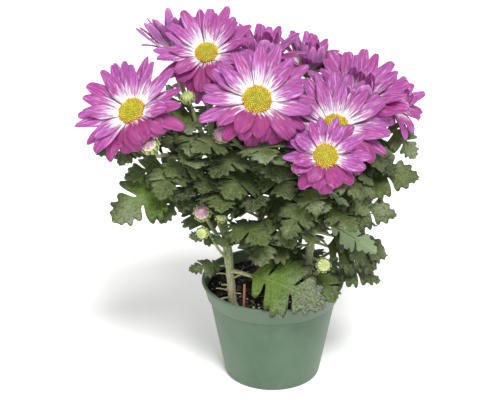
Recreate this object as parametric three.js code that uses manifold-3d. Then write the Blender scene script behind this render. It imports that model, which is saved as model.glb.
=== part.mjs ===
// Pot chrysanthemum: three leafy plants with daisy blooms and buds, rooted in the soil of a nursery pot.
// Millimetres and degrees, +Z up. The origin is the middle of the pot's base, where the pot stands.
// The show side faces -Y. A turn of 0 points there, 90 points to +X and 180 to +Y; a rise is above the level.

import * as THREE from "three";
import { mergeVertices } from "three/addons/utils/BufferGeometryUtils.js";
import Module from "manifold-3d";

const wasm = await Module();
wasm.setup();

const { Vector3 } = THREE;
const radians = THREE.MathUtils.degToRad;
const UP = new Vector3(0, 0, 1);

// ---------------------------------------------------------------- driving dimensions

const POT = {
  height: 82,
  lipRadius: 57,
  lipHeight: 1.8,
  bandTopRadius: 55.7, // the stiff band under the lip
  bandBottomRadius: 52.8,
  bandHeight: 14.5,
  neckRadius: 50.8, // the wall just under the band
  footRadius: 38.6,
  footRounding: 2,
  wall: 1.3,
  floor: 2,
  edgeHeight: 0.7, // of the small slopes above and below the band
  drainHoles: 8,
  drainRadius: 3.5,
  drainCircle: 28,
  drainSides: 8,
  sides: 32,
};
const SOIL = { level: 73, mound: 3.5, lump: 1.3, clearance: 1, rings: 3, middleRing: 0.7, seed: 31 };
const DEAD_STEM = { foot: [-24, -40], base: 68, lean: [1.5, 3], height: 27, radius: [1.1, 0.9] };

const GAP = 0.3; // between pieces that touch
const CLEAR = 0.45; // kept on both sides of a ray or leaf by what doesn't carry it
const STEM = {
  sides: 5,
  step: 18,
  foot: 64, // how high in the pot a rooted stem starts
  hole: 1, // the soil's clearance round it
  holeSides: 8,
  neck: 2.2, // where a stem turns in line with its head, in depths of the head's cup
  sunk: 0.5, // how far it reaches into that cup
};
const RAY = {
  thickness: 0.7,
  width: 0.31, // a share of its length past the middle of the disc's radius
  lowWidth: 0.15, // how much wider the lowest rays are
  root: 0.8, // where the rays start, as a share of the disc's radius
  rowHeights: [-1.3, 0.1],
  rowReaches: [1, 0.93],
  rowCups: [-3, 7],
  sag: 60, // how much further the lowest rays bend
  sagShrink: 360, // the sag that would take a ray's whole length
  ownGuard: 0.1, // kept on both sides by its own disc and cup
};
const RAY_VARIES = { angle: 3, reach: 0.07, width: 0.1, cup: 2.5, bend: 6, twist: 14 };
const LEAF = { thickness: 0.7, fold: 0.18, curl: 1.1, turnOn: 100, ownGuard: 0.1 };
const LEAF_VARIES = { turn: 15, bend: 6, roll: 6, twist: 10, curl: 0.3 };

// Profiles from foot to tip. A cup's depth is in millimetres, and its radii are shares of the disc's radius.
// A disc's rows are its height, its share of the disc's radius and how far its studs stand out. A bud's sizes
// are all shares of its radius. Teeth are the shares of the bracts' tips and of the notches between them.
const CALYX = { depth: 10, sides: 8, footRadius: 1.8, bellyHeight: 0.62, bellyShare: 0.8, teeth: [1, 0.86] };
const DISC = { sides: 10, height: 5, rows: [[0, 0.66, 0], [2, 1, 0], [3.7, 0.76, 0.45], [4.8, 0.4, -0.45]] };
const BUD = {
  sides: 6,
  cup: [[-1.1, 0.28], [-0.5, 0.88]],
  brim: 0.12,
  teeth: [1.04, 0.92],
  petals: [[0.12, 0.84], [0.5, 0.8], [0.85, 0.48]],
  tip: 1.1,
};

// Each bloom: its middle, where it faces, a ray's length from the middle, the disc's radius, the rays in a
// row, how far they rise from the bloom's plane at first (cup) and how far they then arch back (bend). The
// lowest rays bend further, by the sag; low is where they are round the bloom, with -90 straight down. A
// width or sag of a bloom's own stands in for the usual one.
const BLOOMS = {
  left: {
    at: [-105, -35, 237], turn: -30, rise: 45, reach: 46, disc: 10.2, rays: 11, cup: 20, bend: 20,
    low: -52, sag: 100,
  },
  crown_left: { at: [-51, 10, 267], turn: -8, rise: 52, reach: 41, disc: 8.8, rays: 10, cup: 20, bend: 16 },
  centre: { at: [-13, -32, 245], turn: 3, rise: 42, reach: 45, disc: 10.8, rays: 11, cup: 18, bend: 22 },
  low_front: {
    at: [37, -56, 210], turn: 6, rise: 40, reach: 33, disc: 9.2, rays: 8, cup: 18, bend: 24,
    width: 0.42,
  },
  right_front: { at: [46, -20, 218], turn: 16, rise: 46, reach: 47, disc: 10.8, rays: 11, cup: 17, bend: 18 },
  right_high: {
    at: [62, 16, 226], turn: 10, rise: 62, reach: 47, disc: 8.5, rays: 10, cup: 30, bend: 8,
    sag: 0,
  },
  right_side: { at: [93, 36, 216], turn: 62, rise: 50, reach: 36, disc: 8.5, rays: 9, cup: 28, bend: 12 },
  crown_back: { at: [-76, 42, 260], turn: -168, rise: 66, reach: 38, disc: 7.6, rays: 9, cup: 38, bend: -4 },
  crown_middle: { at: [-9, 46, 248], turn: 40, rise: 82, reach: 40, disc: 8, rays: 9, cup: 46, bend: 14 },
  crown_right: { at: [29, 60, 240], turn: 80, rise: 82, reach: 38, disc: 8, rays: 9, cup: 46, bend: 14 },
  back_left: { at: [-46, 78, 222], turn: -150, rise: 44, reach: 40, disc: 9, rays: 8, cup: 14, bend: 16 },
  back_right: { at: [58, 92, 214], turn: 150, rise: 40, reach: 40, disc: 9, rays: 8, cup: 14, bend: 16 },
};

// Each bud: its middle, where it points, its radius, and whether its rays show their colour yet.
const BUDS = {
  left: { at: [-92, -47, 215], turn: -35, rise: 50, radius: 6.4, rosy: true },
  left_high: { at: [-65, -10, 239], turn: -30, rise: 62, radius: 5, rosy: false },
  centre: { at: [-39, -38, 220], turn: -40, rise: 30, radius: 6, rosy: true },
  low_left: { at: [-54, -46, 160], turn: -15, rise: 42, radius: 6.2, rosy: true },
  low_small: { at: [-40, -47, 157], turn: 20, rise: 50, radius: 4.2, rosy: false },
  low_tiny: { at: [-54, -54, 147], turn: -20, rise: 10, radius: 4.2, rosy: false },
  low_right: { at: [38, -46, 116], turn: 5, rise: 30, radius: 5.2, rosy: false },
  right: { at: [19, -37, 194], turn: -30, rise: 68, radius: 5.6, rosy: true },
};

// Each stem: where it starts (a foot in the soil, or a height on another stem), the points that it passes,
// its radius at foot and tip, and the bloom or bud that ends it.
const PLANTS = {
  left: {
    left: {
      foot: [-31, -30], via: [[-34, -31, 105], [-38, -26, 140], [-45, -12, 178], [-49, 12, 222]],
      radius: [2.9, 1.8], bloom: "crown_left",
    },
    left_outer: {
      from: ["left", 150], via: [[-58, -16, 176], [-84, -12, 205]],
      radius: [2.1, 1.8], bloom: "left",
    },
    left_back: {
      from: ["left", 185], via: [[-60, 14, 212], [-74, 30, 240]],
      radius: [1.9, 1.7], bloom: "crown_back",
    },
    bud_left: { from: ["left_outer", 190], via: [[-82, -28, 200]], radius: [1.4, 1.2], bud: "left" },
    bud_left_high: { from: ["left", 196], via: [[-58, -6, 214]], radius: [1.2, 1.1], bud: "left_high" },
    bud_low_left: { from: ["left", 122], via: [[-45, -33, 138]], radius: [1.6, 1.3], bud: "low_left" },
    bud_low_small: { from: ["left", 118], via: [[-39, -38, 138]], radius: [1.1, 1], bud: "low_small" },
    bud_low_tiny: { from: ["left", 112], via: [[-43, -40, 128]], radius: [1.1, 1], bud: "low_tiny" },
  },
  middle: {
    middle: {
      foot: [-6, 6], via: [[-8, 3, 110], [-11, -4, 160], [-13, -12, 200]],
      radius: [2.7, 2.1], bloom: "centre",
    },
    middle_crown: {
      from: ["middle", 150], via: [[-9, 22, 190], [-8, 40, 226]],
      radius: [2, 1.7], bloom: "crown_middle",
    },
    middle_back: {
      from: ["middle", 128], via: [[-20, 30, 165], [-36, 52, 196]],
      radius: [2.1, 1.8], bloom: "back_left",
    },
    bud_centre: { from: ["middle", 192], via: [[-24, -22, 203]], radius: [1.4, 1.2], bud: "centre" },
  },
  right: {
    right: {
      foot: [27, -14], via: [[28, -16, 105], [31, -26, 142], [33, -36, 172]],
      radius: [2.9, 1.9], bloom: "low_front",
    },
    right_inner: { from: ["right", 158], via: [[40, -12, 186]], radius: [2.1, 1.9], bloom: "right_front" },
    right_outer: {
      from: ["right", 132], via: [[48, 0, 172], [62, 14, 206]],
      radius: [2.2, 1.8], bloom: "right_high",
    },
    right_side: {
      from: ["right_outer", 168], via: [[74, 24, 192]],
      radius: [1.9, 1.7], bloom: "right_side",
    },
    right_back: {
      from: ["right", 118], via: [[31, 20, 165], [32, 42, 212]],
      radius: [2.1, 1.6], bloom: "crown_right",
    },
    right_far: { from: ["right_back", 165], via: [[46, 58, 190]], radius: [1.9, 1.7], bloom: "back_right" },
    bud_low_right: { from: ["right", 92], via: [[34, -32, 102]], radius: [1.2, 1.1], bud: "low_right" },
    bud_right: { from: ["right", 162], via: [[22, -34, 176]], radius: [1.3, 1.1], bud: "right" },
  },
};

// Leaves that stand out on the show side: stem, height on it, turn, rise, length, how far it arches, roll.
const LEAVES = [
  ["left", 108, -70, 16, 33, 24, 20],
  ["left", 104, 68, 1, 80, 26, -30],
  ["left", 126, -68, 34, 33, 30, 10],
  ["left", 128, -16, 26, 38, 50, 0],
  ["left", 150, -17, 34, 44, 54, 10],
  ["left", 162, 4, 32, 52, 60, 0],
  ["left", 172, -37, 28, 50, 54, 10],
  ["left", 184, -44, 32, 52, 50, 20],
  ["left", 192, -56, 42, 50, 46, 24],
  ["left", 202, -12, 30, 54, 54, 10],
  ["left", 214, -60, 30, 48, 50, 24],
  ["left_back", 212, -45, 66, 46, 36, 20],
  ["left_outer", 178, -64, -5, 74, 32, 34],
  ["left_outer", 185, -78, 8, 50, 26, 24],
  ["left_outer", 174, -31, -10, 48, 40, 0],
  ["left_outer", 200, -33, 24, 40, 34, 24],
  ["left_outer", 196, 120, 30, 44, 44, -20],
  ["left_outer", 190, -19, 20, 50, 52, 0],
  ["left", 140, 40, 30, 52, 54, 0],
  ["left", 156, 36, 38, 46, 54, 0],
  ["middle", 150, -95, 16, 44, 44, 10],
  ["middle", 167, -106, 20, 42, 44, 10],
  ["middle", 166, -17, 10, 58, 48, 0],
  ["middle", 152, 32, 0, 54, 48, 0],
  ["middle", 182, 30, 6, 52, 52, -10],
  ["middle", 176, -26, 19, 58, 52, 10],
  ["middle", 194, -38, 22, 56, 52, 10],
  ["middle", 200, 20, 15, 50, 52, 0],
  ["middle", 209, 50, 16, 40, 42, -20],
  ["middle", 134, 0, 9, 56, 54, 0],
  ["right", 148, 69, -15, 54, 16, 60],
  ["right", 134, 101, -3, 66, 24, -20],
  ["right", 124, 85, -2, 56, 24, -24],
  ["right", 108, 84, -8, 59, 20, 0],
  ["right", 103, 42, 4, 42, 30, -24],
  ["right", 160, 87, 7, 62, 26, -30],
  ["right_outer", 166, 81, 14, 68, 26, -24],
  ["right_outer", 188, 53, 8, 48, 34, -20],
  ["right_side", 194, 69, -12, 58, 24, -20],
  ["right_side", 205, 56, 4, 44, 20, -16],
  ["right", 173, 52, 10, 30, 30, 50],
  ["right", 150, 41, 15, 26, 50, 0],
  ["right", 166, -66, 46, 32, 30, 0],
  ["right_inner", 176, 52, -4, 47, 40, -24],
  ["right", 126, -66, 30, 39, 34, 10],
  ["right", 160, -64, 18, 28, 44, 0],
];

// Leaves by rule, on alternate sides: stem, first height, number, step, the first one's turn, and the lengths
// of the first and last.
const LEAF_RUNS = [
  ["left", 146, 4, 20, 115, 54, 48],
  ["left_back", 208, 2, 16, 200, 48, 42],
  ["middle", 106, 3, 28, 60, 56, 44],
  ["middle_crown", 172, 3, 18, 100, 46, 34],
  ["middle_back", 142, 3, 20, 130, 56, 40],
  ["right", 98, 3, 22, 190, 54, 46],
  ["right_outer", 150, 3, 20, 130, 52, 38],
  ["right_back", 134, 3, 26, 110, 56, 40],
  ["right_far", 176, 2, 13, 120, 48, 38],
];
const RUN_RISE = [4, 22];
const RUN_ARCH = [44, 30];

// What a ray or leaf tries, first to last, until it is clear: changes of cup or rise, and of a leaf's turn.
const RAY_CHANGES = [0, 7, -7, 14, -14, 22, -22, 32];
const LEAF_CHANGES = [
  [0, 0], [9, 0], [-9, 0], [0, 14], [0, -14], [16, 12], [-16, -12], [-22, 16], [24, -16],
  [0, 28], [0, -28], [-34, 0], [34, 0], [-34, 30], [20, 44], [-20, -44],
];

// ---------------------------------------------------------------- helpers

const vec = (p) => new Vector3(...p);
const mix = (a, b, x, y) => a.clone().multiplyScalar(x).addScaledVector(b, y);
const { lerp } = THREE.MathUtils;
const range = (n) => Array.from({ length: n }, (_, k) => k);

function heading(turn, rise) {
  const [t, r] = [radians(turn), radians(rise)];
  return new Vector3(Math.sin(t) * Math.cos(r), -Math.cos(t) * Math.cos(r), Math.sin(r));
}

const facing = ({ turn, rise }) => heading(turn, rise);

// A repeatable number from -1 to 1 for each seed and count.
function jitter(seed, count) {
  const s = Math.sin(seed * 12.9898 + count * 78.233) * 43758.5453;
  return (s - Math.floor(s)) * 2 - 1;
}

function solidOf(points, faces) {
  const vertProperties = new Float32Array(points.flatMap((p) => [p.x, p.y, p.z]));
  const triVerts = new Uint32Array(faces.flat());
  return new wasm.Manifold(new wasm.Mesh({ numProp: 3, vertProperties, triVerts }));
}

const joined = (solids) => wasm.Manifold.union(solids);
const largestBody = (solid) => solid.decompose().reduce((a, b) => (b.volume() > a.volume() ? b : a));
const clearOf = (solid, others) => others.every((other) => solid.intersect(other).volume() < 1e-6);

// Rings of points from foot to tip, each anticlockwise seen from the tip, as one closed solid.
// The last ring may be a single point.
function loft(rings) {
  const faces = [];
  let start = 0;
  for (let i = 0; i + 1 < rings.length; i++) {
    const [n, m, next] = [rings[i].length, rings[i + 1].length, start + rings[i].length];
    for (let k = 0; k < n; k++) {
      const [a, b] = [start + k, start + ((k + 1) % n)];
      const [c, d] = [next + ((k + 1) % m), next + (k % m)];
      faces.push([a, b, c]);
      if (m > 1) faces.push([a, c, d]);
    }
    start = next;
  }
  const [foot, tip] = [rings[0].length, rings.at(-1).length];
  for (let k = 1; k + 1 < foot; k++) faces.push([0, k + 1, k]);
  for (let k = 1; k + 1 < tip; k++) faces.push([start, start + k, start + k + 1]);
  return solidOf(rings.flat(), faces);
}

// Two directions square to an axis and to each other; the first lies level.
function squareTo(axis) {
  const level = axis.z > 0.999 ? new Vector3(1, 0, 0) : new Vector3(-axis.y, axis.x, 0).normalize();
  return [level, axis.clone().cross(level)];
}

// Points round an axis, at a height along it. The radius may be a function of the point's number.
function ringRound(middle, axis, height, radius, sides, offset = 0) {
  const [level, high] = squareTo(axis);
  return range(sides).map((k) => {
    const a = ((k + offset) / sides) * 2 * Math.PI;
    const r = typeof radius === "function" ? radius(k) : radius;
    const out = mix(level, high, Math.cos(a), Math.sin(a));
    return middle.clone().addScaledVector(axis, height).addScaledVector(out, r);
  });
}

// A tapering tube along a curve.
function tube(curve, [from, to]) {
  const steps = Math.max(2, Math.round(curve.getLength() / STEM.step));
  const side = new Vector3(1, 0, 0);
  const rings = range(steps + 1).map((i) => {
    const tangent = curve.getTangent(i / steps);
    side.addScaledVector(tangent, -side.dot(tangent)).normalize();
    const other = tangent.clone().cross(side);
    const radius = lerp(from, to, i / steps);
    return range(STEM.sides).map((k) => {
      const a = (k / STEM.sides) * 2 * Math.PI;
      return curve.getPoint(i / steps).addScaledVector(mix(side, other, Math.cos(a), Math.sin(a)), radius);
    });
  });
  return loft(rings);
}

// ---------------------------------------------------------------- thin blades: rays and leaves

// Half outlines, as shares of the length along the midline and out from it.
const RAY_HALF = [[0, 0.22], [0.42, 0.84], [0.87, 0.8]];
const LEAF_HALF = [
  [0, 0.02], [0.22, 0.026], [0.34, 0.21], [0.4, 0.085], [0.54, 0.28], [0.67, 0.29], [0.68, 0.09], [0.84, 0.18],
];
const LEAF_RIB = [0.68, 0.4];

// A flat shape: points [along, out], its triangles, and the rim from its root's right corner round to the
// left one, both anticlockwise seen from above. Its halves are split into triangles alike.
function shapeOf(half, rib) {
  const [right, left] = [1, -1].map((sign) => half.map(([along, out]) => [along, sign * out]));
  const n = half.length;
  const points = [...right, ...left, [1, 0], ...rib.map((along) => [along, 0])];
  const middle = range(rib.length + 1).map((k) => 2 * n + k);
  const ids = [...right.keys(), ...middle];
  const flat = ids.map((id) => new THREE.Vector2(...points[id]));
  const faces = [[n, 0, middle.at(-1)]];
  for (const corners of THREE.ShapeUtils.triangulateShape(flat, [])) {
    const [a, b, c] = corners.map((k) => ids[k]);
    const [d, e, f] = [a, b, c].map((id) => (id < n ? id + n : id));
    faces.push([a, c, b], [d, e, f]);
  }
  return { points, faces, rim: [...right.keys(), middle[0], ...left.map((_, k) => n + k).reverse()] };
}

const RAY_SHAPE = {
  points: [...RAY_HALF.flatMap(([along, out]) => [[along, out], [along, -out]]), [1, 0]],
  faces: [[1, 0, 2], [1, 2, 3], [3, 2, 4], [3, 4, 5], [5, 4, 6]],
  rim: [0, 2, 4, 6, 5, 3, 1],
};
const LEAF_SHAPE = shapeOf(LEAF_HALF, LEAF_RIB);
const LEAF_BODY = shapeOf(LEAF_HALF.slice(2), LEAF_RIB);

// The upper and under points of a blade. It leaves its root along one direction and arches away from the
// other, up; roll and twist turn it about its midline, and lift raises a point off the midline's surface.
function bladePoints(shape, { root, along, up, length, half, bend, roll = 0, twist = 0, lift, thickness }) {
  const side = along.clone().cross(up);
  const run = length / radians(bend);
  const placed = shape.points.map(([s, v]) => {
    const [a, r] = [radians(bend) * s, radians(roll + twist * s)];
    const middle = root.clone().add(mix(along, up, Math.sin(a) * run, (Math.cos(a) - 1) * run));
    const outward = mix(up, along, Math.cos(a), Math.sin(a));
    const across = mix(side, outward, Math.cos(r), Math.sin(r));
    const face = mix(outward, side, Math.cos(r), -Math.sin(r));
    return [middle.addScaledVector(across, v * half).addScaledVector(face, lift(s, v)), face];
  });
  const moved = (by) => placed.map(([point, face]) => point.clone().addScaledVector(face, by));
  return { top: moved(thickness / 2), under: moved(-thickness / 2) };
}

function blade(shape, dimensions) {
  const { top, under } = bladePoints(shape, dimensions);
  const n = top.length;
  const faces = shape.faces.flatMap(([a, b, c]) => [[a, b, c], [n + a, n + c, n + b]]);
  shape.rim.forEach((a, k) => {
    const b = shape.rim[(k + 1) % shape.rim.length];
    faces.push([a, n + a, n + b], [a, n + b, b]);
  });
  return solidOf([...top, ...under], faces);
}

// ---------------------------------------------------------------- pot and soil

// A turned solid, its profile going up the outside and down the inside.
function lathe(profile, sides) {
  const outline = profile.map((p) => new THREE.Vector2(...p));
  const turned = new THREE.LatheGeometry(outline, sides).rotateX(Math.PI / 2);
  turned.deleteAttribute("normal").deleteAttribute("uv");
  const { index, attributes } = mergeVertices(turned, 1e-3);
  const { position } = attributes;
  const faces = range(index.count / 3).map((t) => [0, 1, 2].map((k) => index.getX(3 * t + k)));
  const points = range(position.count).map((i) => new Vector3().fromBufferAttribute(position, i));
  return solidOf(points, faces.filter(([a, b, c]) => a !== b && b !== c && c !== a));
}

const bandFoot = POT.height - POT.bandHeight;
const innerRadius = (z) => lerp(POT.footRadius, POT.neckRadius, z / bandFoot) - POT.wall;

function potSolid() {
  const { height, lipRadius, lipHeight, bandTopRadius, bandBottomRadius, footRadius, footRounding } = POT;
  const { wall, floor, edgeHeight } = POT;
  const shell = lathe(
    [
      [0, 0],
      [footRadius - footRounding, 0],
      [footRadius, footRounding],
      [POT.neckRadius, bandFoot],
      [bandBottomRadius, bandFoot + edgeHeight],
      [bandTopRadius, height - lipHeight - edgeHeight],
      [lipRadius, height - lipHeight],
      [lipRadius, height],
      [bandTopRadius - wall, height],
      [bandBottomRadius - wall, bandFoot + edgeHeight + wall],
      [innerRadius(bandFoot), bandFoot],
      [innerRadius(floor), floor],
      [0, floor],
    ],
    POT.sides,
  );
  const holes = ringRound(new Vector3(), UP, 0, POT.drainCircle, POT.drainHoles, 0.5).map((middle) =>
    loft([-floor, 2 * floor].map((z) => ringRound(middle, UP, z, POT.drainRadius, POT.drainSides))),
  );
  return shell.subtract(joined(holes));
}

// The soil fills the pot and heaps a little round the stems. Its top is lumpy, and the stems stand in round
// holes. It has half of the pot's sides, so its corners are what keeps clear of the wall.
function soilSolid(feet) {
  const { level, mound, lump, clearance, rings } = SOIL;
  const share = (level - bandFoot) / POT.bandHeight;
  const edge = lerp(POT.bandBottomRadius, POT.bandTopRadius, share) - POT.wall - clearance;
  const plain = (radius, height) => ringRound(new Vector3(), UP, height, radius, POT.sides / 2);
  const lumpy = (radius, height, row) =>
    plain(radius, height).map((p, k) => p.addScaledVector(UP, lump * jitter(SOIL.seed + row, k)));
  const top = range(rings).map((i) => {
    const inward = (i + 1) / (rings + SOIL.middleRing);
    return lumpy(edge * (1 - inward), level + mound * Math.sin((inward * Math.PI) / 2), i);
  });
  const foot = POT.floor + GAP;
  const heap = loft([
    plain(innerRadius(foot) - clearance, foot),
    plain(innerRadius(bandFoot) - clearance, bandFoot - GAP),
    plain(edge, level),
    ...top,
    [new Vector3(0, 0, level + mound)],
  ]);
  const holes = feet.map(([point, radius]) =>
    loft([-GAP, POT.height].map((z) => ringRound(point, UP, z, radius + STEM.hole, STEM.holeSides))),
  );
  return heap.subtract(joined(holes));
}

// ---------------------------------------------------------------- stems

const STEMS = Object.assign({}, ...Object.values(PLANTS));

const curves = {};
for (const [name, stem] of Object.entries(STEMS)) {
  const start = stem.foot ? new Vector3(...stem.foot, STEM.foot) : pointAtHeight(...stem.from);
  const head = stem.bloom ? BLOOMS[stem.bloom] : BUDS[stem.bud];
  const neck = stem.bloom ? CALYX.depth : -BUD.cup[0][0] * head.radius;
  const behind = (distance) => vec(head.at).addScaledVector(facing(head), -distance);
  const points = [start, ...stem.via.map(vec), behind(STEM.neck * neck), behind(neck - STEM.sunk)];
  curves[name] = new THREE.CatmullRomCurve3(points, false, "catmullrom", 0.5);
}

// The point of a stem's middle line at a height.
function pointAtHeight(name, height) {
  let [low, high] = [0, 1];
  for (let i = 0; i < 30; i++) {
    const t = (low + high) / 2;
    if (curves[name].getPoint(t).z < height) low = t;
    else high = t;
  }
  return curves[name].getPoint((low + high) / 2);
}

// ---------------------------------------------------------------- blooms and buds

// The green cup of bracts under a bloom, from its stem to just under the rays.
function calyx(bloom) {
  const { depth, sides, footRadius, bellyHeight, bellyShare, teeth } = CALYX;
  const top = RAY.rowHeights[0] - RAY.thickness / 2 - GAP;
  const bracts = (k) => bloom.disc * teeth[k % 2];
  const rings = [[-depth, footRadius], [-bellyHeight * depth, bellyShare * bloom.disc], [top, bracts]];
  const axis = facing(bloom);
  return loft(rings.map(([height, radius]) => ringRound(vec(bloom.at), axis, height, radius, sides)));
}

// The yellow button of small tubular florets, as a dome whose upper rings are studded.
function discSolid(bloom) {
  const axis = facing(bloom);
  const middle = vec(bloom.at);
  const foot = RAY.rowHeights[1] + RAY.thickness / 2 + GAP;
  const rings = DISC.rows.map(([height, share, stud]) => {
    const ring = ringRound(middle, axis, foot + height, share * bloom.disc, DISC.sides);
    return ring.map((p, k) => p.addScaledVector(axis, k % 2 ? stud : -stud));
  });
  return loft([...rings, [middle.clone().addScaledVector(axis, foot + DISC.height)]]);
}

// A ray's dimensions, by its row and its number in that row, as a function of a change of its cup and of a
// guard that is added to each face.
function rayDimensions(bloom, seed, row, k) {
  const axis = facing(bloom);
  const [level, high] = squareTo(axis);
  const varied = (what, count) => RAY_VARIES[what] * jitter(seed + count, 20 * row + k);
  const a = radians(((k + row / 2) / bloom.rays) * 360 + varied("angle", 0));
  const out = mix(level, high, Math.cos(a), Math.sin(a));
  const reach = bloom.reach * RAY.rowReaches[row] * (1 + varied("reach", 1));
  const low = Math.max(0, Math.cos(a - radians(bloom.low ?? -90))) ** 2;
  const sag = (bloom.sag ?? RAY.sag) * low;
  const share = (bloom.width ?? RAY.width) * (1 + RAY.lowWidth * low + varied("width", 2));
  const width = share * (bloom.reach - bloom.disc / 2);
  const hubRadius = RAY.root * bloom.disc;
  return (change, guard) => {
    const cup = radians(bloom.cup + RAY.rowCups[row] + varied("cup", 3) + change);
    return {
      root: vec(bloom.at).add(mix(out, axis, hubRadius, RAY.rowHeights[row])),
      along: mix(out, axis, Math.cos(cup), Math.sin(cup)),
      up: mix(axis, out, Math.cos(cup), -Math.sin(cup)),
      length: (reach - hubRadius) * (1 - sag / RAY.sagShrink),
      half: width / 2,
      bend: bloom.bend + sag + varied("bend", 4) + Math.max(0, change),
      twist: varied("twist", 5),
      lift: () => 0,
      thickness: RAY.thickness + 2 * guard,
    };
  };
}

// The ray florets, in two rows round a hub. Neighbours in a row grow from shared corners of the hub.
function raysSolid(bloom, seed, own, others) {
  const axis = facing(bloom);
  const middle = vec(bloom.at);
  const count = bloom.rays;
  const points = [];
  const faces = [];
  const corners = RAY.rowHeights.map((height, row) =>
    [height + RAY.thickness / 2, height - RAY.thickness / 2].map((h) => {
      const start = points.length;
      points.push(...ringRound(middle, axis, h, RAY.root * bloom.disc, count, row / 2 - 0.5));
      return (k) => start + (k % count);
    }),
  );

  const addRay = (row, k) => {
    const dimensions = rayDimensions(bloom, seed, row, k);
    const guarded = (change, guard) => blade(RAY_SHAPE, dimensions(change, guard));
    const change = RAY_CHANGES.find(
      (c) => clearOf(guarded(c, CLEAR), others) && clearOf(guarded(c, RAY.ownGuard), own),
    );
    if (change === undefined) return false;
    const { top, under } = bladePoints(RAY_SHAPE, dimensions(change, 0));
    const start = points.length;
    points.push(...top.slice(2), ...under.slice(2));
    const [cornerTop, cornerUnder] = corners[row];
    const topId = (i) => (i < 2 ? cornerTop(k + i) : start + i - 2);
    const underId = (i) => (i < 2 ? cornerUnder(k + i) : start + top.length - 4 + i);
    for (const [a, b, c] of RAY_SHAPE.faces) {
      faces.push([topId(a), topId(b), topId(c)], [underId(a), underId(c), underId(b)]);
    }
    RAY_SHAPE.rim.slice(0, -1).forEach((i, n) => {
      const j = RAY_SHAPE.rim[n + 1];
      faces.push([topId(i), underId(i), underId(j)], [topId(i), underId(j), topId(j)]);
    });
    return true;
  };

  RAY.rowHeights.forEach((_, row) => {
    for (let k = 0; k < count; k++) {
      if (addRay(row, k)) continue;
      const [top, under] = corners[row];
      faces.push([top(k), under(k), under(k + 1)], [top(k), under(k + 1), top(k + 1)]);
    }
  });
  const [[lowTop, lowUnder], [highTop, highUnder]] = corners;
  for (let k = 0; k < count; k++) {
    faces.push([lowTop(k), lowTop(k + 1), highUnder(k)], [lowTop(k + 1), highUnder(k + 1), highUnder(k)]);
    if (k > 0 && k + 1 < count) {
      faces.push([lowUnder(0), lowUnder(k + 1), lowUnder(k)], [highTop(0), highTop(k), highTop(k + 1)]);
    }
  }
  return solidOf(points, faces);
}

// A bud's green cup, and the tight petals that it holds.
function budCup(bud) {
  const bracts = (k) => bud.radius * BUD.teeth[k % 2];
  const rings = [...BUD.cup.map(([height, share]) => [height, share * bud.radius]), [BUD.brim, bracts]];
  return loft(rings.map(([height, radius]) => budRing(bud, height * bud.radius, radius)));
}

function budPetals(bud) {
  const { radius } = bud;
  const rings = BUD.petals.map(([height, share]) => budRing(bud, height * radius + GAP, share * radius));
  return loft([...rings, [vec(bud.at).addScaledVector(facing(bud), BUD.tip * radius)]]);
}

const budRing = (bud, height, radius) => ringRound(vec(bud.at), facing(bud), height, radius, BUD.sides);

// ---------------------------------------------------------------- leaves

// A leaf that is clear, or undefined if no change makes it so. The halves of its blade rise from the rib in a
// shallow V, and the edges curl down again.
function leafSolid([stem, height, turn, rise, length, arch, roll], seed, others, own) {
  const root = pointAtHeight(stem, height);
  const varied = (what, count) => LEAF_VARIES[what] * jitter(seed, count);
  const curl = LEAF.curl * (1 - LEAF_VARIES.curl + varied("curl", 4));
  const make = (shape, [lift, sweep], guard) =>
    blade(shape, {
      root,
      along: heading(turn + sweep, rise + lift),
      up: heading(turn + sweep, rise + lift + 90),
      length,
      half: length,
      bend: arch + varied("bend", 1),
      roll: roll + varied("roll", 2),
      twist: varied("twist", 3),
      lift: (s, v) => length * Math.abs(v) * (LEAF.fold - curl * Math.abs(v)),
      thickness: LEAF.thickness + 2 * guard,
    });
  const change = LEAF_CHANGES.find(
    (c) => clearOf(make(LEAF_SHAPE, c, CLEAR), others) && clearOf(make(LEAF_BODY, c, LEAF.ownGuard), own),
  );
  return change && make(LEAF_SHAPE, change, 0);
}

const leavesByRule = LEAF_RUNS.flatMap(([stem, first, count, step, turn, long, short]) =>
  range(count).map((k) => {
    const share = k / (count - 1);
    const [rise, arch] = [lerp(...RUN_RISE, share), lerp(...RUN_ARCH, share)];
    const side = (k % 2) * LEAF.turnOn + LEAF_VARIES.turn * jitter(turn, k);
    return [stem, first + k * step, turn + side, rise, lerp(long, short, share), arch, 0];
  }),
);

// ---------------------------------------------------------------- assembly

const FINISHES = {
  pot: { color: 0x64836d, roughness: 0.5, metalness: 0 },
  soil: { color: 0x2b2521, roughness: 1, metalness: 0 },
  dead_stem: { color: 0x8a5546, roughness: 0.9, metalness: 0 },
  foliage: { color: 0x3d5327, roughness: 0.6, metalness: 0 },
  rays: { color: 0xbc5cb4, roughness: 0.6, metalness: 0 },
  disc: { color: 0xcfc23a, roughness: 0.8, metalness: 0 },
  bud_rosy: { color: 0xc890bd, roughness: 0.6, metalness: 0 },
  bud_green: { color: 0xc6cf8e, roughness: 0.6, metalness: 0 },
};

const solids = { pot: potSolid() };
const finishes = { pot: "pot", soil: "soil", dead_stem: "dead_stem" };

const deadFoot = new Vector3(...DEAD_STEM.foot, DEAD_STEM.base);
const deadTip = deadFoot.clone().add(new Vector3(...DEAD_STEM.lean, DEAD_STEM.height));
const deadLine = new THREE.CatmullRomCurve3([deadFoot, deadFoot.clone().lerp(deadTip, 0.5), deadTip]);
solids.dead_stem = tube(deadLine, DEAD_STEM.radius);

const rooted = Object.values(STEMS).filter(({ foot }) => foot);
const feet = rooted.map(({ foot, radius }) => [new Vector3(...foot, STEM.foot), radius[0]]);
solids.soil = soilSolid([...feet, [deadFoot, DEAD_STEM.radius[0]]]);

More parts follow.
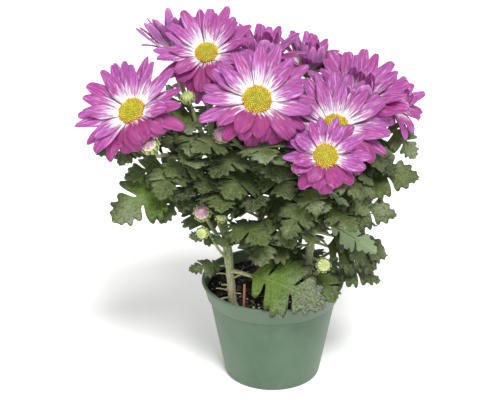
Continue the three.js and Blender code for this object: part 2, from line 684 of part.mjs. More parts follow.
const stalks = {};
const cups = {};
for (const [plant, stems] of Object.entries(PLANTS)) {
  const tubes = Object.entries(stems).map(([name, { radius }]) => tube(curves[name], radius));
  const heads = Object.values(stems).map(({ bloom, bud }) => {
    if (bud) return budCup(BUDS[bud]);
    cups[bloom] = calyx(BLOOMS[bloom]);
    return cups[bloom];
  });
  const name = "plant_" + plant;
  stalks[name] = joined(tubes);
  solids[name] = joined([...tubes, ...heads]);
  finishes[name] = "foliage";
}
for (const [name, bloom] of Object.entries(BLOOMS)) {
  solids[`bloom_${name}_disc`] = discSolid(bloom);
  finishes[`bloom_${name}_disc`] = "disc";
}
for (const [name, bud] of Object.entries(BUDS)) {
  solids["bud_" + name] = budPetals(bud);
  finishes["bud_" + name] = bud.rosy ? "bud_rosy" : "bud_green";
}
Object.entries(BLOOMS).forEach(([name, bloom], i) => {
  const own = [cups[name], solids[`bloom_${name}_disc`]];
  const plain = Object.entries(solids).filter(([other]) => !(other in stalks));
  const built = [...plain.map(([, solid]) => solid), ...Object.values(stalks), ...Object.values(cups)];
  const rest = built.filter((solid) => !own.includes(solid));
  solids[`bloom_${name}_rays`] = raysSolid(bloom, 100 * (i + 1), own, rest);
  finishes[`bloom_${name}_rays`] = "rays";
});

// Leaves keep clear of the other plants, of the blooms and buds and, past their stalks, of their own plant.
const leaves = Object.fromEntries(Object.keys(stalks).map((name) => [name, []]));
const bare = { ...solids };
[...LEAVES, ...leavesByRule].forEach((row, i) => {
  const plant = "plant_" + Object.keys(PLANTS).find((name) => row[0] in PLANTS[name]);
  const rest = Object.entries(solids).filter(([name]) => name !== plant).map(([, solid]) => solid);
  const leaf = leafSolid(row, i + 1, rest, [bare[plant], ...leaves[plant]]);
  if (leaf) {
    leaves[plant].push(leaf);
    solids[plant] = solids[plant].add(leaf);
  }
});

const part = new THREE.Group();
for (const [name, solid] of Object.entries(solids)) {
  const { vertProperties, triVerts } = largestBody(solid).getMesh();
  const geometry = new THREE.BufferGeometry();
  geometry.setAttribute("position", new THREE.BufferAttribute(vertProperties, 3));
  geometry.setIndex(new THREE.BufferAttribute(triVerts, 1));
  geometry.computeVertexNormals();
  const mesh = new THREE.Mesh(geometry, new THREE.MeshStandardMaterial(FINISHES[finishes[name]]));
  mesh.name = name;
  part.add(mesh);
}

export default part;
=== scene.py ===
import math
from itertools import product

import bpy
import numpy as np
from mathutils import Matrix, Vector, kdtree, noise
from mathutils.bvhtree import BVHTree


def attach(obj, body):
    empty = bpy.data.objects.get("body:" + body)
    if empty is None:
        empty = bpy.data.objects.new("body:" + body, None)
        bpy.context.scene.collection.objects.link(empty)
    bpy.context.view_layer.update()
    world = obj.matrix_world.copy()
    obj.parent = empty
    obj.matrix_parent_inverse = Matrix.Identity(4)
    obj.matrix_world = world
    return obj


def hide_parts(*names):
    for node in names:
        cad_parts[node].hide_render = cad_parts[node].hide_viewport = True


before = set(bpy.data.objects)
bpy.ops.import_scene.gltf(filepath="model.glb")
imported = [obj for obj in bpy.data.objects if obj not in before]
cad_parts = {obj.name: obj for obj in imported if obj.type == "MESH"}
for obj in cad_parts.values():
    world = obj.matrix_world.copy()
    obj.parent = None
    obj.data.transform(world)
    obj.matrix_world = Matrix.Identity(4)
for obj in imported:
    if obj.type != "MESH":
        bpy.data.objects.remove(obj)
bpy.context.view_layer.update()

# Millimetres and degrees below, +Z up, until a piece is made in metres. The show side faces -Y. A turn of 0
# points there, 90 points to +X and 180 to +Y; a rise is above the level.
MM = 0.001

# ---------------------------------------------------------------- studio
# A pale matt floor under the pot, a white surround, one broad soft lamp high on the right and a weaker one on
# the left, all in metres. The camera looks down on the plant, as someone does who stands at a table.
CAMERA_PLACE = (-0.0182, -1.0709, 0.6270)
CAMERA_DOWN = 24
CAMERA_LENS = 107.62
FLOOR_HALF = 20.0
LAMPS = {
    "key_lamp": {"place": (0.7, -2.5, 4.0), "size": 1.7, "watts": 270},
    "fill_lamp": {"place": (-3.0, -2.4, 1.6), "size": 2.0, "watts": 30},
}
LAMP_AIM = (0, 0, 0.15)
SURROUND = 0.72


class Value:
    """A socket of a finish that sums can be written with, such as 1 - mask * 0.5."""

    def __init__(self, finish, socket):
        self.finish = finish
        self.socket = socket

    def math(self, operation, *values):
        return self.finish.node("ShaderNodeMath", {"operation": operation}, dict(enumerate(values)))

    def __add__(self, other):
        return self.math("ADD", self, other)

    def __sub__(self, other):
        return self.math("SUBTRACT", self, other)

    def __rsub__(self, other):
        return self.math("SUBTRACT", other, self)

    def __mul__(self, other):
        return self.math("MULTIPLY", self, other)

    def __abs__(self):
        return self.math("ABSOLUTE", self)

    __radd__ = __add__

    def least(self, other):
        return self.math("MINIMUM", self, other)

    def most(self, other):
        return self.math("MAXIMUM", self, other)

    def rise(self, low, high):
        """0 up to low, 1 from high on, and smooth between; falls where low is the higher."""
        sockets = {"Value": self, "From Min": low, "From Max": high}
        return self.finish.node("ShaderNodeMapRange", {"interpolation_type": "SMOOTHSTEP"}, sockets)

    def part(self, number):
        """Another output of the same node."""
        return Value(self.finish, self.socket.node.outputs[number])


class Finish:
    """A material on one Principled shader, whose sockets are set by their names."""

    def __init__(self, name, sockets):
        self.material = bpy.data.materials.new(name)
        self.material.use_nodes = True
        self.tree = self.material.node_tree
        self.shader = self.tree.nodes["Principled BSDF"]
        self.set(sockets)

    def set(self, sockets):
        self.fill(self.shader, sockets)

    def fill(self, node, sockets):
        for name, value in sockets.items():
            if isinstance(value, Value):
                self.tree.links.new(value.socket, node.inputs[name])
            else:
                node.inputs[name].default_value = value

    def node(self, kind, settings=None, sockets=None, output=0):
        node = self.tree.nodes.new(kind)
        for name, value in (settings or {}).items():
            setattr(node, name, value)
        self.fill(node, sockets or {})
        return Value(self, node.outputs[output])

    def mix(self, factor, first, second):
        return self.node("ShaderNodeMix", {"data_type": "RGBA"}, {0: factor, 6: first, 7: second}, 2)

    def place(self):
        """Where a point is on the object, in metres."""
        return self.node("ShaderNodeTexCoord", output="Object")

    def marks(self):
        """The three marks that a point carries."""
        carried = self.node("ShaderNodeAttribute", {"attribute_name": "marks"}, output="Vector")
        x = self.node("ShaderNodeSeparateXYZ", None, {0: carried})
        return x, x.part(1), x.part(2)

    def vector(self, x, y, z):
        return self.node("ShaderNodeCombineXYZ", None, {0: x, 1: y, 2: z})

    def speckle(self, vector, scale, detail=2, roughness=0.5):
        sockets = {"Vector": vector, "Scale": scale, "Detail": detail, "Roughness": roughness}
        return self.node("ShaderNodeTexNoise", None, sockets)

    def bump(self, height, strength, distance):
        sockets = {"Height": height, "Strength": strength, "Distance": distance}
        self.set({"Normal": self.node("ShaderNodeBump", None, sockets)})


def colour(red, green, blue):
    """An 8-bit screen colour as the linear one that sockets take."""
    shares = [c / 255 for c in (red, green, blue)]
    linear = [c / 12.92 if c < 0.04045 else ((c + 0.055) / 1.055) ** 2.4 for c in shares]
    return (*linear, 1)


def linked(name, data):
    made = bpy.data.objects.new(name, data)
    bpy.context.scene.collection.objects.link(made)
    return made


camera = linked("camera", bpy.data.cameras.new("camera"))
camera.location = CAMERA_PLACE
camera.rotation_euler = (math.radians(90 - CAMERA_DOWN), 0, 0)
camera.data.lens = CAMERA_LENS
bpy.context.scene.camera = camera

for name, lamp in LAMPS.items():
    light = linked(name, bpy.data.lights.new(name, "AREA"))
    light.data.size = lamp["size"]
    light.data.energy = lamp["watts"]
    light.location = lamp["place"]
    light.rotation_euler = (Vector(LAMP_AIM) - light.location).to_track_quat("-Z", "Y").to_euler()

world = bpy.data.worlds.new("surround")
world.use_nodes = True
world.node_tree.nodes["Background"].inputs["Color"].default_value = (SURROUND, SURROUND, SURROUND, 1)
bpy.context.scene.world = world
bpy.context.scene.view_settings.view_transform = "Standard"

floor_mesh = bpy.data.meshes.new("floor")
corners = [(x * FLOOR_HALF, y * FLOOR_HALF, 0) for x, y in ((-1, -1), (1, -1), (1, 1), (-1, 1))]
floor_mesh.from_pydata(corners, [], [(0, 1, 2, 3)])
floor_finish = Finish("floor_paint", {"Base Color": colour(253, 253, 252), "Roughness": 0.9})
floor_finish.bump(floor_finish.speckle(floor_finish.place(), 300), 0.1, 0.0002)
floor_mesh.materials.append(floor_finish.material)
linked("floor", floor_mesh)

# ---------------------------------------------------------------- pot
# A nursery pot of thin grey-green polypropylene, moulded in one shot. It has a turned-out lip over a stiff
# band, a plain tapering wall, a small foot ring and round drain holes through its base.
POT_HEIGHT = 82
POT_LIP = 57
POT_LIP_HEIGHT = 1.8
POT_BAND_TOP = 55.7
POT_BAND_BOTTOM = 52.8
POT_BAND_HEIGHT = 14.5
POT_NECK = 50.8
POT_FOOT = 38.6
POT_FOOT_ROUNDING = 2
POT_RING_WIDTH = 5
POT_RING_DEPTH = 0.4
POT_WALL = 1.3
POT_FLOOR = 2
POT_EDGE_HEIGHT = 0.7
DRAIN_HOLES = 8
DRAIN_RADIUS = 3.5
DRAIN_CIRCLE = 28
DRAIN_SIDES = 32
POT_SIDES = 160
BAND_FOOT = POT_HEIGHT - POT_BAND_HEIGHT


def quads(ids, across=False, along=False):
    """Faces over a grid of point numbers; across and along join its last column and row to the first."""
    if across:
        ids = np.hstack([ids, ids[:, :1]])
    if along:
        ids = np.vstack([ids, ids[:1]])
    return np.stack([ids[:-1, :-1], ids[:-1, 1:], ids[1:, 1:], ids[1:, :-1]], -1).reshape(-1, 4)


def fan(tip, ring, inward=False):
    """Triangles from a tip to each stretch of a closed ring of point numbers."""
    here, there = ring, np.roll(ring, -1)
    if inward:
        here, there = there, here
    return np.stack([np.full(len(ring), tip), here, there], -1)


def angles(count):
    """Even turns of a full round, in radians."""
    return np.arange(count) * 2 * math.pi / count


def smooth(points, steps):
    """Points on a rounded line through the given ones, with steps to each stretch."""
    p = np.array(points, float)
    p = np.vstack([2 * p[0] - p[1], p, 2 * p[-1] - p[-2]])
    t = np.linspace(0, len(p) - 3, steps * (len(p) - 3) + 1)
    return through(p, t)


def through(padded, t):
    """Points of a Catmull-Rom line at t, where padded has one more point than the line at each end."""
    i = np.minimum(t.astype(int), len(padded) - 4)
    w = (t - i)[:, None]
    a, b, c, d = (padded[i + k] for k in range(4))
    m, n = (c - a) / 2, (d - b) / 2
    return b + m * w + (3 * (c - b) - 2 * m - n) * w**2 + (2 * (b - c) + m + n) * w**3


class Piece:
    """Points, faces and marks, gathered in millimetres and made into one object."""

    def __init__(self):
        self.points, self.marks, self.faces, self.finishes = [], [], [], []
        self.count = 0

    def add(self, points, faces, marks=(0, 0, 0), finish=0):
        """Adds points, their marks and arrays of faces, with one finish for all or one for each array."""
        self.points.append(points)
        self.marks.append(np.broadcast_to(marks, points.shape))
        for corners, number in zip(faces, np.broadcast_to(finish, len(faces))):
            self.faces.append(corners + self.count)
            self.finishes.append(np.full(len(corners), number))
        self.count += len(points)

    def make(self, name, finishes, slot, *nodes):
        mesh = bpy.data.meshes.new(name)
        points = np.concatenate(self.points) * MM
        sizes = np.concatenate([np.full(len(f), f.shape[1]) for f in self.faces])
        corners = np.concatenate([f.ravel() for f in self.faces])
        mesh.vertices.add(len(points))
        mesh.vertices.foreach_set("co", points.ravel())
        mesh.loops.add(len(corners))
        mesh.loops.foreach_set("vertex_index", corners)
        mesh.polygons.add(len(sizes))
        mesh.polygons.foreach_set("loop_start", np.cumsum(sizes) - sizes)
        mesh.polygons.foreach_set("material_index", np.concatenate(self.finishes))
        mesh.polygons.foreach_set("use_smooth", np.ones(len(sizes), bool))
        mesh.update(calc_edges=True)
        marks = mesh.attributes.new("marks", "FLOAT_VECTOR", "POINT")
        marks.data.foreach_set("vector", np.concatenate(self.marks).astype(float).ravel())
        for finish in finishes:
            mesh.materials.append(finish.material)
        made = linked(name, mesh)
        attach(made, "root")
        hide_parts(*nodes)
        return made


def turned(outline, sides):
    """A closed body turned about Z from an outline of [radius, height] whose two ends are on the axis."""
    middle = np.array(outline[1:-1], float)
    a = angles(sides)
    rings = np.stack([
        middle[:, :1] * np.cos(a),
        middle[:, :1] * np.sin(a),
        np.repeat(middle[:, 1:], sides, 1),
    ], -1)
    ids = np.arange(len(middle) * sides).reshape(len(middle), sides)
    ends = [(0, 0, outline[0][1]), (0, 0, outline[-1][1])]
    points = np.vstack([rings.reshape(-1, 3), ends])
    fans = np.vstack([fan(ids.size, ids[0], inward=True), fan(ids.size + 1, ids[-1])])
    return points, [quads(ids, across=True), fans]


def rounded(corner_a, corner_b, bulge, steps=4):
    """Points from one corner to another over a small outward bulge."""
    a, b = np.array(corner_a, float), np.array(corner_b, float)
    out = np.array([(b - a)[1], -(b - a)[0]]) * bulge
    return [a + (b - a) * t + out * math.sin(math.pi * t) for t in np.linspace(0, 1, steps)]


def inner_radius(height):
    return POT_FOOT + (POT_NECK - POT_FOOT) * height / BAND_FOOT - POT_WALL


pot_outline = [
    (0, POT_RING_DEPTH),
    (POT_FOOT - POT_RING_WIDTH, POT_RING_DEPTH),
    (POT_FOOT - POT_RING_WIDTH + 1, 0),
    *rounded((POT_FOOT - POT_FOOT_ROUNDING, 0), (POT_FOOT + 0.1, POT_FOOT_ROUNDING), 0.2),
    (POT_FOOT + (POT_NECK - POT_FOOT) * 0.5, BAND_FOOT / 2),
    (POT_NECK - 0.05, BAND_FOOT - 0.5),
    *rounded((POT_NECK, BAND_FOOT), (POT_BAND_BOTTOM, BAND_FOOT + POT_EDGE_HEIGHT), 0.2),
    *rounded(
        (POT_BAND_TOP, POT_HEIGHT - POT_LIP_HEIGHT - POT_EDGE_HEIGHT),
        (POT_LIP - 0.3, POT_HEIGHT - POT_LIP_HEIGHT),
        -0.15,
    ),
    *rounded((POT_LIP, POT_HEIGHT - POT_LIP_HEIGHT + 0.3), (POT_LIP - 0.1, POT_HEIGHT - 0.4), 0),
    *rounded((POT_LIP - 0.5, POT_HEIGHT), (POT_BAND_TOP - POT_WALL + 0.4, POT_HEIGHT), 0),
    (POT_BAND_TOP - POT_WALL, POT_HEIGHT - 0.5),
    (POT_BAND_BOTTOM - POT_WALL, BAND_FOOT + POT_EDGE_HEIGHT + POT_WALL),
    (inner_radius(BAND_FOOT), BAND_FOOT),
    (inner_radius(POT_FLOOR) - 0.2, POT_FLOOR + 0.6),
    (inner_radius(POT_FLOOR) - 1, POT_FLOOR),
    (0, POT_FLOOR),
]
plastic = Finish("pot_plastic", {"Roughness": 0.42, "Specular IOR Level": 0.45})
at = plastic.place()
clouds = plastic.speckle(at, 26, 3, 0.6)
grains = plastic.speckle(at, 900, 1)
dust = plastic.speckle(at, 140, 4, 0.7).rise(0.62, 0.78)
height = plastic.node("ShaderNodeSeparateXYZ", None, {0: at}).part(2)
body = plastic.mix(clouds.rise(0.3, 0.7), colour(61, 86, 64), colour(74, 97, 76))
body = plastic.mix(height.rise(0.060, 0.069) * 0.35, body, colour(78, 97, 71))
body = plastic.mix(grains.rise(0.45, 0.75) * 0.18, body, colour(98, 118, 98))
plastic.set({
    "Base Color": plastic.mix(dust * 0.25, body, colour(122, 130, 110)),
    "Roughness": 0.38 + clouds * 0.14 + dust * 0.2,
})
plastic.bump(grains * 0.4 + clouds, 0.25, 0.0004)

pot_points, pot_faces = turned(pot_outline, POT_SIDES)
pot_piece = Piece()
pot_piece.add(pot_points, pot_faces)
pot = pot_piece.make("nursery_pot", [plastic], "pot", "pot")

drill_piece = Piece()
drill_radii = (0, DRAIN_RADIUS, DRAIN_RADIUS, 0)
drill_heights = (-POT_FLOOR, -POT_FLOOR, 2 * POT_FLOOR, 2 * POT_FLOOR)
points, faces = turned(list(zip(drill_radii, drill_heights)), DRAIN_SIDES)
for k in range(DRAIN_HOLES):
    turn = (k + 0.5) / DRAIN_HOLES * 2 * math.pi
    drill_piece.add(points + np.array([math.cos(turn), math.sin(turn), 0]) * DRAIN_CIRCLE, faces)
drill = drill_piece.make("drill", [plastic], "pot")
cut = pot.modifiers.new("drain_holes", "BOOLEAN")
cut.operation = "DIFFERENCE"
cut.solver = "EXACT"
cut.object = drill
bpy.context.view_layer.update()
shown = pot.evaluated_get(bpy.context.evaluated_depsgraph_get())
drilled = bpy.data.meshes.new_from_object(shown)
pot.modifiers.clear()
pot.data = drilled
bpy.data.objects.remove(drill)

# ---------------------------------------------------------------- soil
# A loose potting mix of dark peat with bark chips and white perlite grains. It fills the pot nearly to its
# rim and heaps a little round the stems. Grains and chips lie pressed into its top.
SOIL_LEVEL = 73
SOIL_MOUND = 3.5
SOIL_EDGE = 52.3
SOIL_RINGS = 48
SOIL_SIDES = 150
SOIL_OUTWARD = 0.85
SOIL_CLOD = 1.6
CLOD_SCALE = 0.16
CRUMB_SCALE = 0.7
CRUMB_SHARE = 0.35
# How far the mix stays from the pot's wall and from its floor.
SOIL_CLEAR = (1, 0.3)
GRAINS = {"number": 130, "size": (0.4, 1.4), "squash": 0.8, "lift": 0.25, "seed": 7}
CHIPS = {"number": 240, "size": (0.9, 2.6), "squash": 0.45, "lift": 0.2, "seed": 8}
PEBBLE_ROWS = (-0.8, -0.3, 0.35, 0.85)
PEBBLE_SIDES = 6
PEBBLE_ROUGH = 0.22
PEBBLE_TIP = 0.7


def soil_height(x, y):
    inward = 1 - min(1, math.hypot(x, y) / SOIL_EDGE)
    clod = noise.fractal(Vector((x, y, 3)) * CLOD_SCALE, 0.6, 2.1, 5)
    crumb = abs(noise.noise(Vector((x, y, 9)) * CRUMB_SCALE))
    return SOIL_LEVEL + SOIL_MOUND * math.sin(inward * math.pi / 2) + SOIL_CLOD * (clod + CRUMB_SHARE * crumb)


def pebble(rng, middle, size, squash):
    """A rough faceted grain round a middle point."""
    rings = [(t + r, math.sqrt(1 - r * r), r) for r in PEBBLE_ROWS for t in angles(PEBBLE_SIDES)]
    rings = [(math.cos(t) * wide, math.sin(t) * wide, r) for t, wide, r in rings]
    points = np.array([*rings, (0, 0, -1), (0, 0, 1)])
    points *= 1 + rng.uniform(-PEBBLE_ROUGH, PEBBLE_ROUGH, (len(points), 1))
    points *= np.array([1, rng.uniform(0.6, 1), squash])
    tip = rng.uniform(-PEBBLE_TIP, PEBBLE_TIP, 2)
    turn = rng.uniform(0, 2 * math.pi)
    cx, sx, cy, sy, cz, sz = (f(a) for a in (*tip, turn) for f in (math.cos, math.sin))
    points = points @ np.array([[1, 0, 0], [0, cx, sx], [0, -sx, cx]])
    points = points @ np.array([[cy, 0, -sy], [0, 1, 0], [sy, 0, cy]])
    points = points @ np.array([[cz, sz, 0], [-sz, cz, 0], [0, 0, 1]])
    ids = np.arange(len(rings)).reshape(-1, PEBBLE_SIDES)
    fans = np.vstack([fan(ids.size, ids[0], inward=True), fan(ids.size + 1, ids[-1])])
    return middle + points * size, [quads(ids, across=True), fans]


def scattered(kind):
    """Grains of one kind, strewn over the mix and pressed a little into it."""
    rng = np.random.default_rng(kind["seed"])
    piece = Piece()
    for _ in range(kind["number"]):
        radius = math.sqrt(rng.uniform(0, 1)) * (SOIL_EDGE - 3)
        turn = rng.uniform(0, 2 * math.pi)
        x, y = radius * math.cos(turn), radius * math.sin(turn)
        size = rng.uniform(*kind["size"])
        middle = np.array([x, y, soil_height(x, y) + kind["lift"] * size])
        points, faces = pebble(rng, middle, size, kind["squash"])
        piece.add(points, faces, (rng.uniform(-1, 1), 0, 0))
    return piece


peat = Finish("peat_mix", {"Roughness": 1.0, "Specular IOR Level": 0.2})
at = peat.place()
fibres = peat.speckle(at, 700, 4, 0.75)
lumps = peat.speckle(at, 160, 3, 0.6)
dark = peat.mix(lumps.rise(0.35, 0.65), colour(20, 17, 16), colour(44, 38, 33))
peat.set({"Base Color": peat.mix(fibres.rise(0.55, 0.8) * 0.6, dark, colour(84, 74, 62))})
peat.bump(fibres + lumps, 0.8, 0.0006)

perlite = Finish("perlite_grain", {"Roughness": 0.9})
pores = perlite.speckle(perlite.place(), 1500, 2)
grey, _, _ = perlite.marks()
pale = perlite.mix(grey.rise(-1, 1), colour(150, 145, 134), colour(218, 213, 202))
perlite.set({"Base Color": perlite.mix(pores.rise(0.5, 0.8) * 0.4, pale, colour(140, 130, 112))})
perlite.bump(pores, 0.6, 0.0002)

bark = Finish("bark_chip", {"Roughness": 0.85})
tone, _, _ = bark.marks()
strands = bark.speckle(bark.place(), 900, 3, 0.7)
brown = bark.mix(tone.rise(-1, 1), colour(36, 28, 24), colour(86, 68, 54))
bark.set({"Base Color": bark.mix(strands.rise(0.4, 0.7) * 0.5, brown, colour(60, 50, 42))})
bark.bump(strands, 0.7, 0.0003)

soil_piece = Piece()
shares = np.linspace(0, 1, SOIL_RINGS + 1)[1:] ** SOIL_OUTWARD
top = [(r * SOIL_EDGE * math.cos(t), r * SOIL_EDGE * math.sin(t)) for r in shares for t in angles(SOIL_SIDES)]
top = [(x, y, soil_height(x, y)) for x, y in top]
wall_gap, floor_gap = SOIL_CLEAR
soil_foot = POT_FLOOR + floor_gap
wall = [
    (inner_radius(BAND_FOOT) - wall_gap, BAND_FOOT - wall_gap),
    (inner_radius(POT_FLOOR) - wall_gap, soil_foot),
]
sides = [(r * math.cos(t), r * math.sin(t), z) for r, z in wall for t in angles(SOIL_SIDES)]
points = np.array([*top, *sides, (0, 0, soil_height(0, 0)), (0, 0, soil_foot)])
ids = np.arange(len(top) + len(sides)).reshape(-1, SOIL_SIDES)
fans = np.vstack([fan(ids.size, ids[0]), fan(ids.size + 1, ids[-1], inward=True)])
soil_piece.add(points, [quads(ids, across=True)[:, ::-1], fans])
soil_piece.make("potting_mix", [peat], "soil", "soil")
scattered(GRAINS).make("perlite_grains", [perlite], "soil", "soil")
scattered(CHIPS).make("bark_chips", [bark], "soil", "soil")

# ---------------------------------------------------------------- dry stem
# The stub of an older shoot, cut off short. It is dry red-brown wood, ridged along its length and a little
# bowed, and stands loose in the mix beside the left plant.
STUB_FOOT = (-24, -40, 68)
STUB_TIP = (-22.5, -37, 95)
STUB_BOW = (0.4, 0, 0)
STUB_RADII = (1.1, 0.9)
STUB_SIDES = 14
STUB_RIDGES = 5
STUB_RIDGE_DEPTH = 0.08
TUBE_TIP = 0.4


def tube(points, radii, sides, ribs=0, rib_depth=0.0, flat=1.0):
    """A closed tube through points (n, 3). Its marks: distance along, share round and share along."""
    points = np.asarray(points, float)
    tangents = np.gradient(points, axis=0)
    tangents /= np.linalg.norm(tangents, axis=1)[:, None]
    side = np.array([1.0, 0.0, 0.0]) if abs(tangents[0][0]) < 0.9 else np.array([0.0, 1.0, 0.0])
    a = angles(sides)
    rings = []
    for point, tangent, radius in zip(points, tangents, radii):
        side = side - tangent * (side @ tangent)
        side /= np.linalg.norm(side)
        other = np.cross(tangent, side)
        r = radius * (1 + rib_depth * np.cos(ribs * a))[:, None]
        rings.append(point + r * (np.cos(a)[:, None] * side + flat * np.sin(a)[:, None] * other))
    n = len(points)
    ids = np.arange(n * sides).reshape(n, sides)
    all_points = np.vstack([*rings, points[:1], points[-1:] + tangents[-1] * radii[-1] * TUBE_TIP])
    fans = np.vstack([fan(ids.size, ids[0], inward=True), fan(ids.size + 1, ids[-1])])
    walked = np.append(0, np.cumsum(np.linalg.norm(np.diff(points, axis=0), axis=1)))
    marks = np.stack([
        np.repeat(walked, sides),
        np.tile(np.arange(sides) / sides, n),
        np.repeat(np.linspace(0, 1, n), sides),
    ], -1)
    marks = np.vstack([marks, marks[:1], marks[-1:]])
    return all_points, [quads(ids, across=True), fans], marks


dry_bark = Finish("dry_bark", {"Roughness": 0.85})
walked, around, _ = dry_bark.marks()
at = dry_bark.vector(walked * 0.15, around * 9, 0)
ridges = dry_bark.speckle(at, 2.2, 4, 0.7)
dry_bark.set({"Base Color": dry_bark.mix(ridges.rise(0.3, 0.7), colour(104, 60, 48), colour(164, 112, 92))})
dry_bark.bump(ridges, 0.7, 0.0003)

stub_line = smooth([STUB_FOOT, np.add(STUB_FOOT, STUB_TIP) / 2 + STUB_BOW, STUB_TIP], 8)
stub_radii = np.linspace(*STUB_RADII, len(stub_line))
points, faces, marks = tube(stub_line, stub_radii, STUB_SIDES, STUB_RIDGES, STUB_RIDGE_DEPTH)
stub = Piece()
stub.add(points, faces, marks)
stub.make("dry_stub", [dry_bark], "dead_stem", "dead_stem")

# ---------------------------------------------------------------- fallen straws
# Thin dry bits of old stalk and root that lie on the mix, bleached to a grey straw colour. They bend a little
# with the ground, and nothing holds them.
STRAWS = {"number": 26, "length": (7, 22), "radius": (0.3, 0.6), "seed": 9}
STRAW_EDGE = SOIL_EDGE - 14
STRAW_BENDS = 4
STRAW_WANDER = 0.8
STRAW_SIDES = 7
STRAW_TAPER = 0.6
STRAW_LIE = 0.6

straw_skin = Finish("dry_straw", {"Roughness": 0.8})
walked, around, _ = straw_skin.marks()
blotch = straw_skin.speckle(straw_skin.vector(walked * 0.3, around * 4, 0), 1.5, 3, 0.6)
bleached = straw_skin.mix(blotch.rise(0.3, 0.7), colour(86, 84, 58), colour(140, 136, 100))
straw_skin.set({"Base Color": bleached})
straw_skin.bump(blotch, 0.5, 0.0002)
rng = np.random.default_rng(STRAWS["seed"])
litter = Piece()
for _ in range(STRAWS["number"]):
    radius = math.sqrt(rng.uniform(0, 1)) * STRAW_EDGE
    turn = rng.uniform(0, 2 * math.pi)
    middle = np.array([radius * math.cos(turn), radius * math.sin(turn)])
    lie = rng.uniform(0, 2 * math.pi)
    length = rng.uniform(*STRAWS["length"])
    thick = rng.uniform(*STRAWS["radius"])
    stops = np.linspace(-0.5, 0.5, STRAW_BENDS)[:, None] * length * np.array([math.cos(lie), math.sin(lie)])
    stops = middle + stops + rng.uniform(-STRAW_WANDER, STRAW_WANDER, (STRAW_BENDS, 2))
    line = smooth([(x, y, soil_height(x, y) + thick * STRAW_LIE) for x, y in stops], 4)
    points, faces, marks = tube(line, np.linspace(thick, thick * STRAW_TAPER, len(line)), STRAW_SIDES)
    litter.add(points, faces, marks)
litter.make("fallen_straws", [straw_skin], "soil", "soil")

# ---------------------------------------------------------------- stems and bracts
# Three rooted plants share the pot. Each one's stems are one green growth that leans out and forks: ribbed, a
# little hairy, woody and tan at the foot, and swollen at its joints. Under each bloom and bud the stem widens
# into a cup of overlapping green bracts.
# Where each bloom is and faces, how far its rays reach, its disc's radius, its number of rays in a row, and
# how far they cup and bend. "low" is where rays sag most, by "sag"; "width" is a ray's share of its length,
# "ripe" changes its colours, and one more key scales the painted shade, deeper and redder, on its sagging
# rays.
BLOOMS = {
    "left": {"at": (-105, -35, 237), "turn": -30, "rise": 45, "reach": 46, "disc": 10.2, "rays": 11,
             "cup": 20, "bend": 20, "low": -52, "sag": 100},
    "crown_left": {"at": (-51, 10, 267), "turn": -8, "rise": 52, "reach": 41, "disc": 8.8, "rays": 10,
                   "cup": 20, "bend": 16},
    "centre": {"at": (-13, -32, 245), "turn": 3, "rise": 42, "reach": 45, "disc": 10.8, "rays": 11,
               "cup": 18, "bend": 22},
    "low_front": {"at": (37, -56, 210), "turn": 6, "rise": 40, "reach": 33, "disc": 9.2, "rays": 8,
                  "cup": 18, "bend": 24, "width": 0.42, "ripe": 1.45},
    "right_front": {"at": (46, -20, 218), "turn": 16, "rise": 46, "reach": 47, "disc": 10.8, "rays": 11,
                    "cup": 17, "bend": 18},
    "right_high": {"at": (62, 16, 226), "turn": 10, "rise": 62, "reach": 47, "disc": 8.5, "rays": 10,
                   "cup": 30, "bend": 8, "sag": 0},
    "right_side": {"at": (93, 36, 216), "turn": 62, "rise": 50, "reach": 36, "disc": 8.5, "rays": 9,
                   "cup": 28, "bend": 12, "sag_shade": 0.15},
    "crown_back": {"at": (-76, 42, 260), "turn": -168, "rise": 66, "reach": 38, "disc": 7.6, "rays": 9,
                   "cup": 38, "bend": -4},
    "crown_middle": {"at": (-9, 46, 248), "turn": 40, "rise": 82, "reach": 40, "disc": 8, "rays": 9,
                     "cup": 46, "bend": 14},
    "crown_right": {"at": (29, 60, 240), "turn": 80, "rise": 82, "reach": 38, "disc": 8, "rays": 9,
                    "cup": 46, "bend": 14},
    "back_left": {"at": (-46, 78, 222), "turn": -150, "rise": 44, "reach": 40, "disc": 9, "rays": 8,
                  "cup": 14, "bend": 16},
    "back_right": {"at": (58, 92, 214), "turn": 150, "rise": 40, "reach": 40, "disc": 9, "rays": 8,
                   "cup": 14, "bend": 16},
}
# Where each bud is and faces, its radius, and whether it already shows pink.
BUDS = {
    "left": {"at": (-92, -47, 215), "turn": -35, "rise": 50, "radius": 6.4, "rosy": True},
    "left_high": {"at": (-65, -10, 239), "turn": -30, "rise": 62, "radius": 5, "rosy": False},
    "centre": {"at": (-39, -38, 220), "turn": -40, "rise": 30, "radius": 6, "rosy": True},
    "low_left": {"at": (-54, -46, 160), "turn": -15, "rise": 42, "radius": 6.2, "rosy": True},
    "low_small": {"at": (-40, -47, 157), "turn": 20, "rise": 50, "radius": 4.2, "rosy": False},
    "low_tiny": {"at": (-54, -54, 147), "turn": -20, "rise": 10, "radius": 4.2, "rosy": False},
    "low_right": {"at": (38, -46, 116), "turn": 5, "rise": 30, "radius": 5.2, "rosy": False},
    "right": {"at": (19, -37, 194), "turn": -30, "rise": 68, "radius": 5.6, "rosy": True},
}
